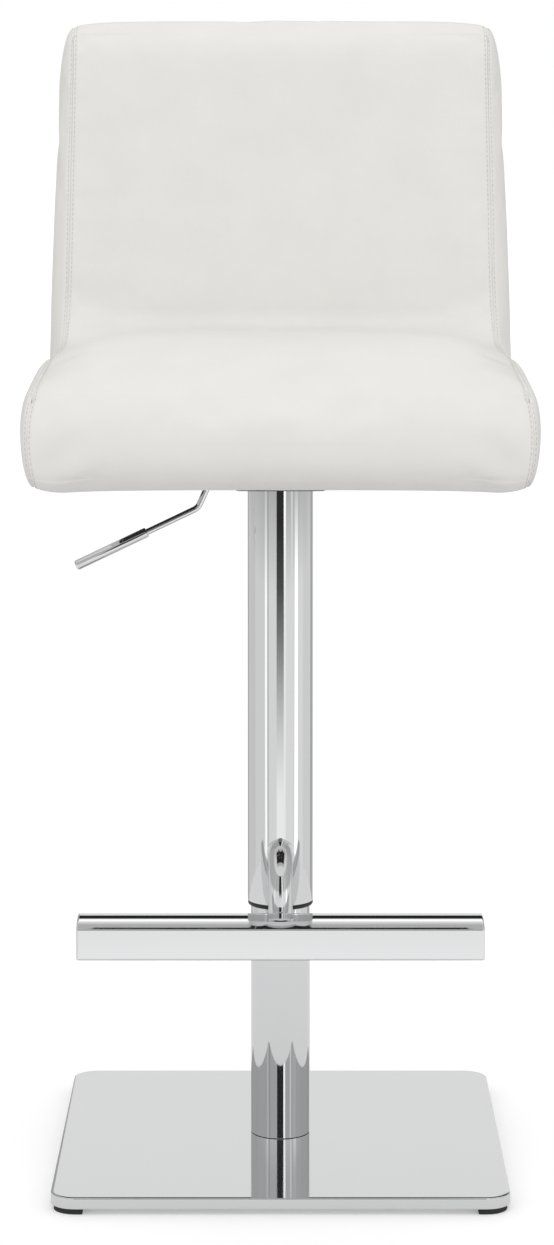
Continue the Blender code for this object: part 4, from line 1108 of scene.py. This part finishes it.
# The tent's walls: the bearings between which each stands, and its light low down and high up
WALLS = [
    ("edge_left", -172.0, -146.0, 0.46, 0.40),
    ("left", -146.0, -100.0, 0.66, 0.46),
    ("left_front", -100.0, -56.0, 0.74, 0.48),
    ("strip_left", -56.0, -47.5, 1.20, 0.60),
    ("gap_left", -47.5, -41.5, 0.58, 0.40),
    ("near_left", -41.5, -13.5, 0.80, 0.50),
    ("line_right", 11.5, 18.5, 0.98, 1.30),
    ("near_right", 18.5, 37.0, 0.84, 0.50),
    ("lamp_right", 37.0, 43.0, 0.84, 0.78),
    ("mid_right", 43.0, 51.0, 0.82, 0.50),
    ("strip_right", 51.0, 63.0, 1.55, 0.55),
    ("right_front", 63.0, 86.0, 0.82, 0.48),
    ("right", 86.0, 129.0, 0.74, 0.46),
    ("edge_right", 129.0, 152.0, 0.44, 0.40),
]


class Glow:
    """A material that only gives light."""

    def __init__(self, name):
        self.material = bpy.data.materials.new(name)
        self.material.use_nodes = True
        self.tree = self.material.node_tree
        self.tree.nodes.clear()
        self.coords = self.node("ShaderNodeTexCoord").outputs["Object"]
        self.axes = self.node("ShaderNodeSeparateXYZ", self.coords).outputs
        self.emission = self.node("ShaderNodeEmission")
        self.node("ShaderNodeOutputMaterial", self.emission.outputs["Emission"])

    def node(self, kind, *sources, operation=None):
        """A new node, whose first inputs are the sources."""
        node = self.tree.nodes.new(kind)
        if operation:
            node.operation = operation
        for socket, source in zip(node.inputs, sources):
            self.tree.links.new(source, socket)
        return node

    def join(self, source, name):
        self.tree.links.new(source, self.emission.inputs[name])


def glow_material(name, stops, axis="Z", low=TENT_LOW, high=TENT_HIGH):
    """Light whose strength changes along an axis; stops are (place, strength)."""
    glow = Glow(name)
    scale = glow.node("ShaderNodeMapRange", glow.axes[axis])
    scale.inputs["From Min"].default_value = low
    scale.inputs["From Max"].default_value = high
    ramp = glow.node("ShaderNodeValToRGB", scale.outputs["Result"])
    elements = ramp.color_ramp.elements
    while len(elements) < len(stops):
        elements.new(0.5)
    brightest = max(strength for _, strength in stops)
    for element, (place, strength) in zip(elements, stops):
        element.position = (place - low) / (high - low)
        level = strength / brightest
        element.color = (level, level, level, 1.0)
    glow.emission.inputs["Strength"].default_value = brightest
    glow.join(ramp.outputs["Color"], "Color")
    return glow.material


def stage_object(name, mesh, material, camera=False, glossy=True, diffuse=True):
    piece = add_object(name, mesh, material)
    piece.visible_camera = camera
    piece.visible_glossy = glossy
    piece.visible_diffuse = diffuse
    piece.visible_shadow = False
    return piece


def tent_wall(name, start_degrees, end_degrees, stops):
    """A curved wall between two bearings, which only mirrors see."""
    steps = max(2, int(abs(end_degrees - start_degrees) / 3.0))
    bearings = np.radians(np.linspace(start_degrees, end_degrees, steps + 1))
    points, faces = [], []
    for bearing in bearings:
        x, y = TENT_RADIUS * math.sin(bearing), -TENT_RADIUS * math.cos(bearing)
        points += [(x, y, TENT_LOW), (x, y, TENT_HIGH)]
    for index in range(steps):
        first = 2 * index
        faces.append((first, first + 1, first + 3, first + 2))
    mesh = bpy.data.meshes.new(name)
    mesh.from_pydata(points, [], faces)
    stage_object(name, mesh, glow_material(name, stops), diffuse=False)


DOME_RADIUS = 8.0
DOME_BASE = 0.95
DOME_SIDES = 0.24
DOME_FRONT = 0.12
DOME_TOP = 0.25


def dome_material():
    """Light from all round, a little stronger from above and from the front and weaker from the sides."""
    glow = Glow("dome_light")
    weigh = glow.node("ShaderNodeVectorMath", glow.coords, operation="DOT_PRODUCT")
    weigh.inputs[1].default_value = (0.0, -DOME_FRONT / DOME_RADIUS, DOME_TOP / DOME_RADIUS)
    aside = glow.node("ShaderNodeMath", glow.axes["X"], operation="ABSOLUTE")
    dimmed = glow.node("ShaderNodeMath", aside.outputs["Value"], operation="MULTIPLY_ADD")
    dimmed.inputs[1].default_value = -DOME_SIDES / DOME_RADIUS
    dimmed.inputs[2].default_value = DOME_BASE
    sources = (weigh.outputs["Value"], dimmed.outputs["Value"])
    total = glow.node("ShaderNodeMath", *sources, operation="ADD")
    glow.join(total.outputs["Value"], "Strength")
    return glow.material


def make_dome():
    work = bmesh.new()
    bmesh.ops.create_uvsphere(work, u_segments=48, v_segments=24, radius=DOME_RADIUS)
    mesh = bpy.data.meshes.new("dome_light")
    work.to_mesh(mesh)
    work.free()
    stage_object("dome_light", mesh, dome_material(), glossy=False)


def disc_mesh(name, radius, height, segments=96):
    points = []
    for index in range(segments):
        angle = 2 * math.pi * index / segments
        points.append((radius * math.cos(angle), radius * math.sin(angle), height))
    mesh = bpy.data.meshes.new(name)
    mesh.from_pydata(points, [], [tuple(range(segments))])
    return mesh


FLOOR_RADIUS = 40.0
FLOOR_MIRRORED = 0.85
FLOOR_GLOW = 0.22


def floor_material(name, grey):
    floor = Shader(name, Metallic=0.0, Roughness=0.8)
    floor.set("Base Color", (grey, grey, grey))
    floor.set("Emission Color", (1.0, 1.0, 1.0))
    floor.set("Emission Strength", FLOOR_GLOW)
    return floor.material


def make_studio():
    scene = bpy.context.scene
    scene.view_settings.view_transform = "Standard"
    scene.view_settings.look = "None"
    world = bpy.data.worlds.new("studio")
    world.use_nodes = True
    world.node_tree.nodes["Background"].inputs["Color"].default_value = (1.0, 1.0, 1.0, 1.0)
    world.node_tree.nodes["Background"].inputs["Strength"].default_value = 1.0
    scene.world = world
    # The camera sees a pale floor out to the horizon, and the mirrors a darker one that is smaller
    floor = disc_mesh("floor", FLOOR_RADIUS, 0.0)
    wide = stage_object("floor", floor, floor_material("pale_floor", 0.86), True, False, False)
    wide.visible_shadow = True
    sheet = disc_mesh("floor_sheet", FLOOR_MIRRORED, 0.0)
    stage_object("floor_sheet", sheet, floor_material("floor_in_mirrors", 0.62), diffuse=False)
    for name, start, end, low, high in WALLS:
        stops = [(-1.6, low), (0.25, low), (0.75, high), (3.0, high)]
        tent_wall("wall_" + name, start, end, stops)
    dark = [(-1.6, 1.02), (-0.75, 1.0), (-0.45, 0.74), (-0.1, 0.36)]
    dark += [(0.06, 0.22), (0.3, 0.08), (0.6, 0.03), (2.2, 0.03)]
    tent_wall("wall_dark", -13.5, 11.5, dark)
    rear = [(-1.6, 0.82), (1.36, 0.82), (1.5, 0.02), (2.65, 0.02), (2.95, 0.5), (3.2, 1.3), (3.5, 1.3)]
    tent_wall("wall_rear", 152.0, 188.0, rear)
    across = [(-3.9, 0.8), (0.5, 0.7), (2.35, 0.55), (2.65, 0.67), (2.99, 0.8), (3.39, 1.0), (3.85, 1.3)]
    ceiling = glow_material("ceiling", across, "Y", -TENT_RADIUS, TENT_RADIUS)
    stage_object("ceiling", disc_mesh("ceiling", TENT_RADIUS, TENT_HIGH), ceiling, diffuse=False)
    make_dome()


make_camera()
make_upholstery()
make_staples()
make_column()
make_base()
make_footrest()
make_lever()
finish_cad_nodes()
make_studio()
